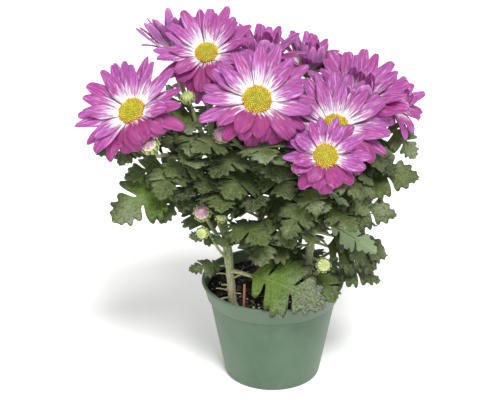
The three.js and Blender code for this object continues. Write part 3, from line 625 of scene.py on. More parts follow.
# Each stem: its foot in the mix, or the stem and height that it forks from; the points that it passes; its
# radius at foot and tip; and the bloom or bud that ends it.
PLANTS = {
    "left": {
        "left": ((-31, -30), [(-34, -31, 105), (-38, -26, 140), (-45, -12, 178), (-49, 12, 222)],
                 (2.9, 1.8), "crown_left"),
        "left_outer": (("left", 150), [(-58, -16, 176), (-84, -12, 205)], (2.1, 1.8), "left"),
        "left_back": (("left", 185), [(-60, 14, 212), (-74, 30, 240)], (1.9, 1.7), "crown_back"),
        "bud_left": (("left_outer", 190), [(-82, -28, 200)], (1.4, 1.2), "left"),
        "bud_left_high": (("left", 196), [(-58, -6, 214)], (1.2, 1.1), "left_high"),
        "bud_low_left": (("left", 122), [(-45, -33, 138)], (1.6, 1.3), "low_left"),
        "bud_low_small": (("left", 118), [(-39, -38, 138)], (1.1, 1), "low_small"),
        "bud_low_tiny": (("left", 112), [(-43, -40, 128)], (1.1, 1), "low_tiny"),
    },
    "middle": {
        "middle": ((-6, 6), [(-8, 3, 110), (-11, -4, 160), (-13, -12, 200)], (2.7, 2.1), "centre"),
        "middle_crown": (("middle", 150), [(-9, 22, 190), (-8, 40, 226)], (2, 1.7), "crown_middle"),
        "middle_back": (("middle", 128), [(-20, 30, 165), (-36, 52, 196)], (2.1, 1.8), "back_left"),
        "bud_centre": (("middle", 192), [(-24, -22, 203)], (1.4, 1.2), "centre"),
    },
    "right": {
        "right": ((27, -14), [(28, -16, 105), (31, -26, 142), (33, -36, 172)], (2.9, 1.9), "low_front"),
        "right_inner": (("right", 158), [(40, -12, 186)], (2.1, 1.9), "right_front"),
        "right_outer": (("right", 132), [(48, 0, 172), (62, 14, 206)], (2.2, 1.8), "right_high"),
        "right_side": (("right_outer", 168), [(74, 24, 192)], (1.9, 1.7), "right_side"),
        "right_back": (("right", 118), [(31, 20, 165), (32, 42, 212)], (2.1, 1.6), "crown_right"),
        "right_far": (("right_back", 165), [(46, 58, 190)], (1.9, 1.7), "back_right"),
        "bud_low_right": (("right", 92), [(34, -32, 102)], (1.2, 1.1), "low_right"),
        "bud_right": (("right", 162), [(22, -34, 176)], (1.3, 1.1), "right"),
    },
}
STEM_FOOT = 64
STEM_NECK = 2.2
STEM_SUNK = 0.5
STEM_STEP = 2.5
STEM_RIBS = 6
STEM_RIB_DEPTH = 0.07
STEM_SIDES = 18
# The swelling at a fork and at a leaf scar: how much wider, and how far it spreads.
FORK_SWELLING = (0.16, 4)
SCAR_SWELLING = (0.1, 2.2)
SCAR_STEP = 9
HAIRS_PER_MM = 1.6
HAIR_LENGTH = (0.5, 1.3)
HAIR_LEAN = (-0.3, 0.6)
HAIR_WIDTH = 0.07
# Stalks that stay on a stem after their leaves have dropped: stem, height, turn, rise and length.
OLD_STALKS = [
    ("left", 80, -78, 14, 11), ("left", 85, -104, 24, 14), ("left", 90, -60, 38, 11), ("left", 83, 70, 30, 9),
    ("left", 95, 62, 52, 14), ("left", 100, -96, 20, 12), ("middle", 84, -40, 30, 14),
    ("right", 82, -50, 24, 15), ("right", 88, 30, 30, 12), ("right", 96, -80, 40, 12),
]
OLD_STALK_RADII = (0.8, 0.45)
OLD_STALK_DROOP = 0.28
OLD_STALK_SIDES = 8
# A bloom's green cup: height and, in shares of its disc's radius, how wide. A bud's has both in bud radii.
CUP_DEPTH = 10
CUP_OUTLINE = [(-10, 0.2), (-9, 0.32), (-7.6, 0.6), (-5.6, 0.82), (-3.6, 0.93), (-2.2, 0.97)]
CUP_SIDES = 24
BUD_CUP_DEPTH = 1.1
BUD_CUP_OUTLINE = [(-1.1, 0.26), (-0.95, 0.5), (-0.6, 0.84), (-0.2, 0.98), (0.12, 1.0), (0.2, 0.97)]
# Rows of bracts: from and to which share of the cup, and how many; and how far their tips stand out.
BRACT_ROWS = [(0.1, 0.62, 9), (0.34, 0.86, 11), (0.6, 1.02, 13)]
BRACT_FLARE = 0.05
BUD_BRACT_ROWS = [(0.15, 0.8, 8), (0.45, 1.28, 12)]
BUD_BRACT_FLARE = 0.07
BRACT_SPREAD = 0.62
BRACT_TURN_VARIES = 0.15
BRACT_LIFT = 0.25
BRACT_CROWN = 0.3
BUD_TONE = 3


def heading(turn, rise):
    t, r = math.radians(turn), math.radians(rise)
    return np.array([math.sin(t) * math.cos(r), -math.cos(t) * math.cos(r), math.sin(r)])


def jitter(seed, count):
    """A repeatable number from -1 to 1 for each seed and count, the same as the solids are grown with."""
    s = math.sin(seed * 12.9898 + count * 78.233) * 43758.5453
    return (s - math.floor(s)) * 2 - 1


stem_lines = {}


def on_stem(name, t):
    """Points of a stem's middle line at shares t of the way."""
    line = stem_lines[name]
    return through(line, np.atleast_1d(t) * (len(line) - 3))


def at_height(name, height):
    """Where a stem's middle line passes a height."""
    low, high = 0.0, 1.0
    for _ in range(30):
        t = (low + high) / 2
        if on_stem(name, t)[0][2] < height:
            low = t
        else:
            high = t
    return on_stem(name, (low + high) / 2)[0]


for stems in PLANTS.values():
    for name, (start, via, _, end) in stems.items():
        head = BUDS[end] if name.startswith("bud") else BLOOMS[end]
        depth = BUD_CUP_DEPTH * head["radius"] if name.startswith("bud") else CUP_DEPTH
        foot = at_height(*start) if isinstance(start[0], str) else np.array([*start, STEM_FOOT])
        back = (STEM_NECK * depth, depth - STEM_SUNK)
        neck = [np.array(head["at"]) - heading(head["turn"], head["rise"]) * d for d in back]
        line = np.array([foot, *via, *neck], float)
        stem_lines[name] = np.vstack([2 * line[0] - line[1], line, 2 * line[-1] - line[-2]])


def square_to(axis):
    """Two directions square to an axis and to each other, the first of them level."""
    level = np.array([-axis[1], axis[0], 0])
    level /= np.linalg.norm(level)
    return level, np.cross(axis, level)


def frame_of(head):
    """A bloom's or bud's middle, the two directions square to where it faces, and that direction."""
    axis = heading(head["turn"], head["rise"])
    return np.array(head["at"], float), *square_to(axis), axis


def turned_round(head, outline, sides):
    """A closed body turned about a bloom's or bud's axis from an outline of (height, radius)."""
    middle, level, high, axis = frame_of(head)
    full = [(0, outline[0][0]), *[(r, h) for h, r in outline], (0, outline[-1][0])]
    points, faces = turned(full, sides)
    return middle + points @ np.array([level, high, axis]), faces


def thin_faces(rows, columns):
    """The upper and under faces of a thin blade whose two sides meet along its edge."""
    upper = np.arange(rows * columns).reshape(rows, columns)
    under = upper.copy()
    under[1:-1, 1:-1] = rows * columns + np.arange((rows - 2) * (columns - 2)).reshape(rows - 2, columns - 2)
    return quads(upper), quads(under)[:, ::-1]


def thin_points(middle, face, thickness, rows, columns):
    """Its points, from those of its middle surface and their normals; the thickness is nil along the edge."""
    half = np.zeros((rows, columns))
    half[1:-1, 1:-1] = np.broadcast_to(thickness, (rows, columns))[1:-1, 1:-1] / 2
    half = half.reshape(-1, 1)
    inner = np.zeros((rows, columns), bool)
    inner[1:-1, 1:-1] = True
    return np.vstack([middle + face * half, (middle - face * half)[inner.ravel()]]), inner.ravel()


def wrapped_scale(head, outline, turn, reach, width, lift, rows=7, columns=5, thickness=0.5):
    """A bract or petal that lies on a turned outline.

    It reaches from one share of the outline to another. width(p) is its half angle at a share p of its
    length, and lift(p, x) how far it stands off there at a share x of its width.
    """
    middle, level, high, axis = frame_of(head)
    p, x = np.meshgrid(np.linspace(0, 1, rows), np.linspace(-1, 1, columns), indexing="ij")
    along = reach[0] + (reach[1] - reach[0]) * p * (1 - 0.2 * x**2 * p)
    stops = np.linspace(0, 1, len(outline))
    inside = np.minimum(along, 1)
    past = (along - inside) * abs(outline[-1][0] - outline[0][0])
    heights = np.interp(inside, stops, [h for h, _ in outline]) + past
    radii = np.interp(inside, stops, [r for _, r in outline]) + lift(p, x)
    a = turn + x * width(p)
    out = np.cos(a)[..., None] * level + np.sin(a)[..., None] * high
    points = (middle + out * radii[..., None] + axis * heights[..., None]).reshape(-1, 3)
    body, inner = thin_points(points, out.reshape(-1, 3), thickness, rows, columns)
    marks = np.stack([p.ravel(), x.ravel(), np.full(p.size, jitter(turn * 10, 3))], -1)
    return body, thin_faces(rows, columns), np.vstack([marks, marks[inner]])


stem_skin = Finish("stem_skin", {"Roughness": 0.6, "Sheen Weight": 0.3, "Subsurface Weight": 0.05})
walked, around, share = stem_skin.marks()
height = stem_skin.node("ShaderNodeSeparateXYZ", None, {0: stem_skin.place()}).part(2)
mottle = stem_skin.speckle(stem_skin.vector(walked * 0.2, around * 6, 0), 1.8, 5, 0.7)
fresh = stem_skin.mix(mottle.rise(0.35, 0.65), colour(88, 108, 58), colour(146, 158, 106))
woody = stem_skin.mix(mottle.rise(0.38, 0.62), colour(92, 92, 62), colour(150, 142, 106))
stem_skin.set({"Base Color": stem_skin.mix(height.rise(0.125, 0.085), fresh, woody)})
stem_skin.bump(mottle, 0.5, 0.0003)

bract_skin = Finish("bract_skin", {"Roughness": 0.6, "Sheen Weight": 0.2})
along, across, tone = bract_skin.marks()
edge = abs(across).rise(0.5, 1) + along.rise(0.72, 1)
inside = bract_skin.mix(along.rise(0, 0.8), colour(84, 106, 52), colour(118, 138, 70))
inside = bract_skin.mix(tone.rise(1.5, 2.5), inside, colour(150, 158, 86))
bract_skin.set({"Base Color": bract_skin.mix(edge.least(1) * 0.6, inside, colour(206, 208, 152))})

hair_skin = Finish("hair_skin", {"Roughness": 0.5, "Subsurface Weight": 0.2})
tint = hair_skin.speckle(hair_skin.place(), 400, 1)
downy = hair_skin.mix(tint.rise(0.3, 0.7), colour(176, 186, 146), colour(208, 214, 184))
hair_skin.set({"Base Color": downy})

# A leaf's midrib and stalk belong to its plant's growth too, so that is made at the end of the leaves. The
# numbers are those of the finishes on a growth, and on the upper and under side of a blade.
growths = {name: Piece() for name in PLANTS}
STEM_SKIN, BRACT_SKIN, HAIR_SKIN = 0, 1, 2
BLADE_SIDES = (0, 1)


def swollen(name, line, radii):
    """A stem's radii with a swelling wherever another stem forks from it, and at every old leaf scar."""
    forks = [start[1] for stems in PLANTS.values() for start, *_ in stems.values() if start[0] == name]
    scars = np.arange(line[0, 2] + SCAR_STEP, line[-1, 2] - SCAR_STEP, SCAR_STEP)
    for height, size, reach in [(h, *FORK_SWELLING) for h in forks] + [(h, *SCAR_SWELLING) for h in scars]:
        radii = radii * (1 + size * np.exp(-(((line[:, 2] - height) / reach) ** 2)))
    return radii


def hairs(line, surface, sides, seed):
    """Short pointed hairs that stand on a tube's surface, along and round it."""
    rng = np.random.default_rng(seed)
    count = round(len(line) * STEM_STEP * HAIRS_PER_MM)
    i, j = rng.integers(1, len(line) - 1, count), rng.integers(0, sides, count)
    foot = surface[: len(line) * sides].reshape(len(line), sides, 3)[i, j]
    out, run = foot - line[i], line[i + 1] - line[i - 1]
    out, run = (a / np.linalg.norm(a, axis=1)[:, None] for a in (out, run))
    across = np.cross(out, run)
    lean = rng.uniform(*HAIR_LEAN, (count, 1))
    foot = foot - out * HAIR_WIDTH
    tip = foot + (out + run * lean) * rng.uniform(*HAIR_LENGTH, (count, 1))
    corners = [foot - across * HAIR_WIDTH, foot + across * HAIR_WIDTH, foot + run * HAIR_WIDTH, tip]
    faces = np.array([(0, 1, 3), (1, 2, 3), (2, 0, 3), (1, 0, 2)])
    faces = (faces[None] + 4 * np.arange(count)[:, None, None]).reshape(-1, 3)
    return np.stack(corners, 1).reshape(-1, 3), [faces]


def bracts(growth, head, unit, outline, rows, flare, tone):
    """Rows of bracts that overlap up the outside of a green cup."""
    for row, (low, high, count) in enumerate(rows):
        half = BRACT_SPREAD * math.pi / count
        for k in range(count):
            points, faces, marks = wrapped_scale(
                head,
                outline,
                (k + row / 2 + BRACT_TURN_VARIES * jitter(row + unit, k)) / count * 2 * math.pi,
                (low, high),
                lambda p: half * (0.55 + 0.9 * p) * np.sqrt(np.clip(1 - p**3, 0.02, 1)),
                lambda p, x: BRACT_LIFT + flare * unit * p + BRACT_CROWN * (1 - x**2),
            )
            growth.add(points, faces, marks + (0, 0, tone), BRACT_SKIN)


for plant, stems in PLANTS.items():
    growth = growths[plant]
    for name, (_, _, radius, end) in stems.items():
        rough = on_stem(name, np.linspace(0, 1, 40))
        length = np.linalg.norm(np.diff(rough, axis=0), axis=1).sum()
        line = on_stem(name, np.linspace(0, 1, max(6, round(length / STEM_STEP))))
        radii = swollen(name, line, np.linspace(*radius, len(line)))
        points, faces, marks = tube(line, radii, STEM_SIDES, STEM_RIBS, STEM_RIB_DEPTH)
        growth.add(points, faces, marks, STEM_SKIN)
        points, faces = hairs(line, points, STEM_SIDES, len(name) + len(line))
        growth.add(points, faces, finish=HAIR_SKIN)
        if name.startswith("bud"):
            head, unit = BUDS[end], BUDS[end]["radius"]
            outline = [(h * unit, r * unit) for h, r in BUD_CUP_OUTLINE]
            scales = (BUD_BRACT_ROWS, BUD_BRACT_FLARE, BUD_TONE)
        else:
            head, unit = BLOOMS[end], BLOOMS[end]["disc"]
            outline = [(h, r * unit) for h, r in CUP_OUTLINE]
            scales = (BRACT_ROWS, BRACT_FLARE, 0)
        points, faces = turned_round(head, outline, CUP_SIDES)
        growth.add(points, faces, (0.2, 0, 0), BRACT_SKIN)
        bracts(growth, head, unit, outline, *scales)

for name, height, turn, rise, length in OLD_STALKS:
    reach = np.array([0, 0.3, 0.65, 1])[:, None]
    line = at_height(name, height) + heading(turn, rise) * reach * length
    line = smooth(line - np.array([0, 0, OLD_STALK_DROOP * length]) * reach**2, 4)
    points, faces, marks = tube(line, np.linspace(*OLD_STALK_RADII, len(line)), OLD_STALK_SIDES)
    plant = next(plant for plant, stems in PLANTS.items() if name in stems)
    growths[plant].add(points, faces, marks, STEM_SKIN)

# ---------------------------------------------------------------- leaves
# Thin leaves cut into finger lobes with blunt teeth: dark and a little waxy above, with a pale grey sheen
# painted on in patches, and paler and downy below. Each grows from its stem by a stalk that runs on as its
# midrib, and arches over.
LEAF_FOLD = 0.18
LEAF_CURL = 1.1
LEAF_VARIES = {"turn": 15, "bend": 6, "roll": 6, "twist": 10, "curl": 0.3}
LEAF_SOLID = 0.7
LEAF_THICKNESS = 0.45
LEAF_COLUMNS = 9
LEAF_COLUMN_SPREAD = 0.9
# How much wider one half may be; how far the blade puffs up between veins and how far from a vein that is
# full, in shares of its length; and how deep and how close its edge waves.
LEAF_SKEW = 0.06
LEAF_PUFF = 0.007
LEAF_PUFF_REACH = 0.05
LEAF_WAVE = 0.016
LEAF_WAVES = 24
# The stalk and midrib: at which shares of the leaf it has which radius, on a leaf of this length.
RIB_SHARES = [0, 0.06, 0.22, 0.5, 0.95]
RIB_RADII = [1.7, 1.15, 1.0, 0.6, 0.18]
RIB_LEAF = 50
RIB_STEPS = 18
RIB_SIDES = 8
RIB_FLAT = 0.9
# Younger leaves fill the plants between those of the lists: one at every step up a stem, each turned on from
# the one below it by the angle that shoots follow. One that has no room is turned, raised or grown shorter,
# and left out where nothing helps. None stands above the top or before the front.
YOUNG_SEED = 201
YOUNG_STEP = 8
YOUNG_FIRST = {"rooted": 30, "forked": 6}
YOUNG_TURN_ON = 137.5
YOUNG_RISE = 12
YOUNG_LENGTH = 50
YOUNG_ARCH = 42
YOUNG_VARIES = {"rise": 16, "length": 7, "arch": 12, "roll": 26}
YOUNG_SHRINKS = (1, 0.84, 0.68, 0.52)
YOUNG_TURNS = (0, 35, -35, 70, -70, 110, -110, 150, -150, 180)
YOUNG_RISES = (0, 22, -18)
YOUNG_TOP = 222
YOUNG_FRONT = -68
# Places that they leave open, by two corners: the bare front left of the pot, the front leaf over its rim,
# the sides under the lowest blooms, the fresh leaf on the left, the middle stem under its bloom and the low
# buds.
OPEN_PLACES = [
    ((-80, -90, 60), (4, 6, 130)),
    ((-8, -90, 60), (38, -40, 130)),
    ((-160, -90, 60), (-60, 90, 130)),
    ((-160, -90, 60), (-84, 90, 152)),
    ((52, -90, 60), (160, 120, 138)),
    ((-160, -90, 140), (-72, -20, 196)),
    ((-160, -20, 140), (-90, 90, 200)),
    ((-17, -90, 152), (-1, -12, 198)),
    ((-64, -90, 136), (-34, -30, 172)),
    ((28, -90, 104), (48, -30, 126)),
]
# Leaves that stand out. A leaf's number is its place in the lists below, and the younger ones are numbered on
# from YOUNG_SEED. Other leaves have a tone from -1 to 1.
PALE_TONE = 3
FRESH_TONE = -3
# The fresh leaf at the front takes the painted grey sheen in full.
FRESH_SHEENED_TONE = -4
LEAF_TONES = {31: PALE_TONE, 293: PALE_TONE, 2: FRESH_SHEENED_TONE, 13: FRESH_TONE}
# The leaves that show: stem, height on it, turn, rise, length, how far the leaf arches and its roll.
LEAVES = [
    ("left", 108, -70, 16, 33, 24, 20),
    ("left", 104, 68, 1, 80, 26, -30),
    ("left", 126, -68, 34, 33, 30, 10),
    ("left", 128, -16, 26, 38, 50, 0),
    ("left", 150, -17, 34, 44, 54, 10),
    ("left", 162, 4, 32, 52, 60, 0),
    ("left", 172, -37, 28, 50, 54, 10),
    ("left", 184, -44, 32, 52, 50, 20),
    ("left", 192, -56, 42, 50, 46, 24),
    ("left", 202, -12, 30, 54, 54, 10),
    ("left", 214, -60, 30, 48, 50, 24),
    ("left_back", 212, -45, 66, 46, 36, 20),
    ("left_outer", 178, -64, -5, 74, 32, 34),
    ("left_outer", 185, -78, 8, 50, 26, 24),
    ("left_outer", 174, -31, -10, 48, 40, 0),
    ("left_outer", 200, -33, 24, 40, 34, 24),
    ("left_outer", 196, 120, 30, 44, 44, -20),
    ("left_outer", 190, -19, 20, 50, 52, 0),
    ("left", 140, 40, 30, 52, 54, 0),
    ("left", 156, 36, 38, 46, 54, 0),
    ("middle", 150, -95, 16, 44, 44, 10),
    ("middle", 167, -106, 20, 42, 44, 10),
    ("middle", 166, -17, 10, 58, 48, 0),
    ("middle", 152, 32, 0, 54, 48, 0),
    ("middle", 182, 30, 6, 52, 52, -10),
    ("middle", 176, -26, 19, 58, 52, 10),
    ("middle", 194, -38, 22, 56, 52, 10),
    ("middle", 200, 20, 15, 50, 52, 0),
    ("middle", 209, 50, 16, 40, 42, -20),
    ("middle", 134, 0, 9, 56, 54, 0),
    ("right", 148, 69, -15, 54, 16, 60),
    ("right", 134, 101, -3, 66, 24, -20),
    ("right", 124, 85, -2, 56, 24, -24),
    ("right", 108, 84, -8, 59, 20, 0),
    ("right", 103, 42, 4, 42, 30, -24),
    ("right", 160, 87, 7, 62, 26, -30),
    ("right_outer", 166, 81, 14, 68, 26, -24),
    ("right_outer", 188, 53, 8, 48, 34, -20),
    ("right_side", 194, 69, -12, 58, 24, -20),
    ("right_side", 205, 56, 4, 44, 20, -16),
    ("right", 173, 52, 10, 30, 30, 50),
    ("right", 150, 41, 15, 26, 50, 0),
    ("right", 166, -66, 46, 32, 30, 0),
    ("right_inner", 176, 52, -4, 47, 40, -24),
    ("right", 126, -66, 30, 39, 34, 10),
    ("right", 160, -64, 18, 28, 44, 0),
]
# Leaves by rule: stem, first height, number, step, the first one's turn, and the first and last length.
LEAF_RUNS = [
    ("left", 146, 4, 20, 115, 54, 48),
    ("left_back", 208, 2, 16, 200, 48, 42),
    ("middle", 106, 3, 28, 60, 56, 44),
    ("middle_crown", 172, 3, 18, 100, 46, 34),
    ("middle_back", 142, 3, 20, 130, 56, 40),
    ("right", 98, 3, 22, 190, 54, 46),
    ("right_outer", 150, 3, 20, 130, 52, 38),
    ("right_back", 134, 3, 26, 110, 56, 40),
    ("right_far", 176, 2, 13, 120, 48, 38),
]
RUN_TURN_ON = 100
RUN_RISE = (4, 22)
RUN_ARCH = (44, 30)
# Changes of rise and turn. A leaf that would touch another was moved by the first of these that cleared it.
LEAF_CHANGES = [
    (0, 0), (9, 0), (-9, 0), (0, 14), (0, -14), (16, 12), (-16, -12), (-22, 16), (24, -16),
    (0, 28), (0, -28), (-34, 0), (34, 0), (-34, 30), (20, 44), (-20, -44),
]
# Points of a leaf of the solids, and how many of them have to be how near a solid's corners for a match.
SOLID_LEAF = [
    (0.22, 0.026), (0.34, 0.21), (0.4, 0.085), (0.54, 0.28), (0.67, 0.29), (0.68, 0.09), (0.84, 0.18),
]
FIT_CORNERS = 3
FIT_GAP = 0.05
# Half of the leaf's edge: how far along and how far out, and where on the midrib each point is reached from.
LEAF_EDGE = [
    (0.225, 0.010, 0.220), (0.238, 0.018, 0.232), (0.262, 0.062, 0.256), (0.284, 0.135, 0.272),
    (0.308, 0.205, 0.284), (0.336, 0.236, 0.295), (0.368, 0.232, 0.306), (0.388, 0.190, 0.318),
    (0.392, 0.125, 0.332), (0.384, 0.068, 0.346), (0.404, 0.066, 0.362), (0.432, 0.140, 0.380),
    (0.452, 0.220, 0.392), (0.470, 0.285, 0.402), (0.500, 0.308, 0.412), (0.528, 0.286, 0.423),
    (0.542, 0.280, 0.430), (0.560, 0.335, 0.438), (0.592, 0.362, 0.447), (0.626, 0.342, 0.457),
    (0.632, 0.304, 0.466), (0.652, 0.300, 0.474), (0.690, 0.326, 0.483), (0.716, 0.300, 0.495),
    (0.714, 0.240, 0.512), (0.696, 0.168, 0.536), (0.668, 0.098, 0.562), (0.656, 0.062, 0.584),
    (0.682, 0.066, 0.612), (0.718, 0.130, 0.650), (0.748, 0.196, 0.668), (0.784, 0.226, 0.684),
    (0.812, 0.204, 0.702), (0.820, 0.166, 0.722), (0.846, 0.168, 0.742), (0.884, 0.196, 0.762),
    (0.912, 0.170, 0.786), (0.908, 0.122, 0.812), (0.932, 0.104, 0.842), (0.966, 0.104, 0.874),
    (0.976, 0.070, 0.908), (0.988, 0.040, 0.944), (1.010, 0.018, 0.972), (1.014, 0.004, 0.990),
]
# How far along and how wide a plain blade is that stands for a young leaf while its room is looked for.
ROUGH_SHARES = np.array([0.3, 0.45, 0.6, 0.75, 0.9, 1])
ROUGH_HALVES = np.array([0.2, 0.27, 0.33, 0.22, 0.17, 0.04])
LEAF_VEINS = [
    ((0.285, 0), (0.365, 0.190)), ((0.395, 0), (0.535, 0.250)), ((0.440, 0), (0.665, 0.275)),
    ((0.615, 0), (0.800, 0.165)), ((0.715, 0), (0.885, 0.135)), ((0.815, 0), (0.955, 0.080)),
]


def solid_tree(node):
    """A search tree over the corners of one of the frame's solids."""
    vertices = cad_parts[node].data.vertices
    tree = kdtree.KDTree(len(vertices))
    for i, vertex in enumerate(vertices):
        tree.insert(vertex.co / MM, i)
    tree.balance()
    return tree


def fitting(tree, changes, corners_for):
    """The change with which the solid was grown: the first whose corners are the solid's own, or None."""
    for change in changes:
        hits = sum(tree.find(corner)[2] < FIT_GAP for corner in corners_for(change))
        if hits >= FIT_CORNERS:
            return change
    return None


def blade(s, v, lift, grown):
    """Points of a blade at shares s along it and v out from its midline, and where they face."""
    along, up, bend = grown["along"], grown["up"], math.radians(grown["bend"])
    side = np.cross(along, up)
    a = (bend * s)[..., None]
    r = np.radians(grown["roll"] + grown["twist"] * s)[..., None]
    run = grown["length"] / bend
    middle = grown["root"] + along * np.sin(a) * run + up * (np.cos(a) - 1) * run
    outward = up * np.cos(a) + along * np.sin(a)
    across = side * np.cos(r) + outward * np.sin(r)
    face = outward * np.cos(r) - side * np.sin(r)
    return middle + across * (v * grown["half"])[..., None] + face * np.asarray(lift)[..., None], face


def leaf_growth(row, seed, change=(0, 0)):
    """How one leaf grows: where it starts, its directions and its sizes."""
    stem, height, turn, rise, length, arch, roll = row
    names = ("bend", "roll", "twist", "curl")
    varied = {name: LEAF_VARIES[name] * jitter(seed, k) for k, name in enumerate(names, 1)}
    return {
        "root": at_height(stem, height),
        "along": heading(turn + change[1], rise + change[0]),
        "up": heading(turn + change[1], rise + change[0] + 90),
        "length": length,
        "half": length,
        "bend": arch + varied["bend"],
        "roll": roll + varied["roll"],
        "twist": varied["twist"],
        "curl": LEAF_CURL * (1 - LEAF_VARIES["curl"] + varied["curl"]),
    }


def surface(points, faces):
    """A form that can be tested for touching others."""
    return BVHTree.FromPolygons([Vector(p) for p in points], [tuple(map(int, f)) for f in faces])


def solid_surface(node):
    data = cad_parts[node].data
    return surface([v.co / MM for v in data.vertices], [p.vertices for p in data.polygons])


def free(shape, others):
    return all(not shape.overlap(other) for other in others)


def leaf_lift(v, grown):
    """How far a blade's halves rise from its midrib and curl back."""
    return grown["length"] * abs(v) * (LEAF_FOLD - grown["curl"] * abs(v))


def solid_leaf_corners(row, seed):
    corners = np.array([(s, v * sign) for s, v in SOLID_LEAF for sign in (1, -1)] + [(1, 0)])

    def corners_for(change):
        grown = leaf_growth(row, seed, change)
        points, face = blade(corners[:, 0], corners[:, 1], leaf_lift(corners[:, 1], grown), grown)
        return points + face * LEAF_SOLID / 2

    return corners_for


def vein_distance(s, v):
    """How far a point of the leaf is from its nearest vein, in shares of the leaf's length."""
    near = abs(v)
    for (s0, v0), (s1, v1) in LEAF_VEINS:
        ds, dv = s1 - s0, v1 - v0
        t = np.clip(((s - s0) * ds + (abs(v) - v0) * dv) / (ds * ds + dv * dv), 0, 1)
        near = np.minimum(near, np.hypot(s - s0 - t * ds, abs(v) - v0 - t * dv))
    return near


leaf_edge = smooth(LEAF_EDGE, 2)
leaf_columns = np.linspace(-1, 1, LEAF_COLUMNS)
leaf_columns = np.sign(leaf_columns) * abs(leaf_columns) ** LEAF_COLUMN_SPREAD


def grow_leaf(growth, foliage, grown, seed, edge):
    """Adds a leaf's blade to the foliage, and its stalk and midrib to the growth."""
    rows = len(edge)
    out = abs(leaf_columns)
    s = edge[:, 2:] + out * (edge[:, :1] - edge[:, 2:])
    v = leaf_columns * edge[:, 1:2] * (1 + LEAF_SKEW * jitter(seed, 5) * np.sign(leaf_columns))
    length = grown["length"]
    puff = np.clip(vein_distance(s, v) / LEAF_PUFF_REACH, 0, 1)
    puff = LEAF_PUFF * length * puff**2 * (3 - 2 * puff) * (1 - out**6)
    phase = math.pi * jitter(seed, 6) + 1.3 * np.sign(v)
    wave = LEAF_WAVE * length * out**2 * np.sin(s * LEAF_WAVES + phase) * np.clip((s - 0.25) * 6, 0, 1)
    points, face = blade(s, v, leaf_lift(v, grown) + puff + wave, grown)
    points, face = points.reshape(-1, 3), face.reshape(-1, 3)
    body, inner = thin_points(points, face, LEAF_THICKNESS, rows, LEAF_COLUMNS)
    tone = np.full(s.size, LEAF_TONES.get(seed, jitter(seed, 7)))
    marks = np.stack([s.ravel(), v.ravel(), tone], -1)
    foliage.add(body, thin_faces(rows, LEAF_COLUMNS), np.vstack([marks, marks[inner]]), BLADE_SIDES)

    s = np.linspace(0, RIB_SHARES[-1], RIB_STEPS)
    radii = length / RIB_LEAF * np.interp(s, RIB_SHARES, RIB_RADII)
    line, face = blade(s, 0 * s, 0 * s, grown)
    line = line - face * (radii * np.clip((s - 0.1) * 6, 0, 0.75))[:, None]
    points, faces, marks = tube(line, radii, RIB_SIDES, flat=RIB_FLAT)
    growth.add(points, faces, marks, STEM_SKIN)


def vein_lines(s, v, width):
    """1 on the midrib and side veins, and 0 between them."""
    lines = abs(v).rise(width * 1.5, width * 0.4)
    for (s0, v0), (s1, v1) in LEAF_VEINS:
        reach = math.hypot(s1 - s0, v1 - v0)
        ds, dv = (s1 - s0) / reach, (v1 - v0) / reach
        walked = (s - s0) * ds + (abs(v) - v0) * dv
        off = abs((s - s0) * dv - (abs(v) - v0) * ds)
        line = off.rise(width, width * 0.2) * walked.rise(0, 0.01) * walked.rise(reach, reach * 0.7)
        lines = lines.most(line)
    return lines


leaf_green = Finish("leaf_upper", {"Roughness": 0.5, "Specular IOR Level": 0.28, "Sheen Weight": 0.06})
s, v, tone = leaf_green.marks()
at = leaf_green.place()
patches = leaf_green.speckle(at, 28, 3, 0.6)
fine = leaf_green.speckle(at, 560, 4, 0.75)
net = leaf_green.node("ShaderNodeTexVoronoi", {"feature": "DISTANCE_TO_EDGE"}, {"Vector": at, "Scale": 420})
veins = vein_lines(s, v, 0.006)
dark = leaf_green.mix(tone.rise(-1, 1), colour(32, 38, 21), colour(62, 77, 33))
body = leaf_green.mix(patches.rise(0.4, 0.65), dark, colour(84, 97, 50))
body = leaf_green.mix(tone.rise(-1.5, -2.5) * s.rise(0.95, 0.5) * 0.85, body, colour(70, 98, 10))
# Fine pale and near-black specks: painted highlights and shade of the blade's puckered surface.
body = leaf_green.mix(fine.rise(0.49, 0.62) * 0.55, body, colour(106, 119, 66))
body = leaf_green.mix(fine.rise(0.47, 0.35) * 0.6, body, colour(17, 22, 12))
warm = patches.rise(0.62, 0.42) * abs(v).rise(0.24, 0.04) * s.rise(0.8, 0.35)
body = leaf_green.mix(warm * 0.6, body, colour(84, 104, 26))
# A pale grey sheen painted on in patches, in full on the fresh front leaf; where it lies, the surface is
# rougher too.
sheen_patches = (patches.rise(0.5, 0.64) + tone.rise(-3.2, -3.8) * 0.9).least(1)
painted_sheen = sheen_patches * fine.rise(0.35, 0.6) * s.rise(0.45, 0.9)
body = leaf_green.mix(painted_sheen * 0.6, body, colour(132, 138, 122))
body = leaf_green.mix(net.rise(0.08, 0.0) * 0.12, body, colour(78, 98, 52))
body = leaf_green.mix(tone.rise(1.5, 2.5), body, colour(112, 130, 94))
leaf_green.set({
    "Base Color": leaf_green.mix(veins * 0.4, body, colour(112, 130, 76)),
    "Roughness": 0.4 + fine * 0.2 + painted_sheen * 0.25,
})
leaf_green.bump(net.rise(0.0, 0.16) * 0.3 + fine * 0.9 - veins * 0.5, 0.8, 0.0006)

leaf_pale = Finish("leaf_under", {"Roughness": 0.7, "Sheen Weight": 0.3, "Sheen Roughness": 0.4})
s, v, tone = leaf_pale.marks()
at = leaf_pale.place()
fine = leaf_pale.speckle(at, 360, 3, 0.65)
veins = vein_lines(s, v, 0.008)
body = leaf_pale.mix(fine.rise(0.3, 0.7), colour(80, 100, 62), colour(106, 124, 86))
body = leaf_pale.mix(tone.rise(1.5, 2.5) * 0.8, body, colour(122, 142, 104))
leaf_pale.set({"Base Color": leaf_pale.mix(veins * 0.5, body, colour(132, 150, 108))})
leaf_pale.bump(fine * 0.4 + veins, 0.5, 0.0004)

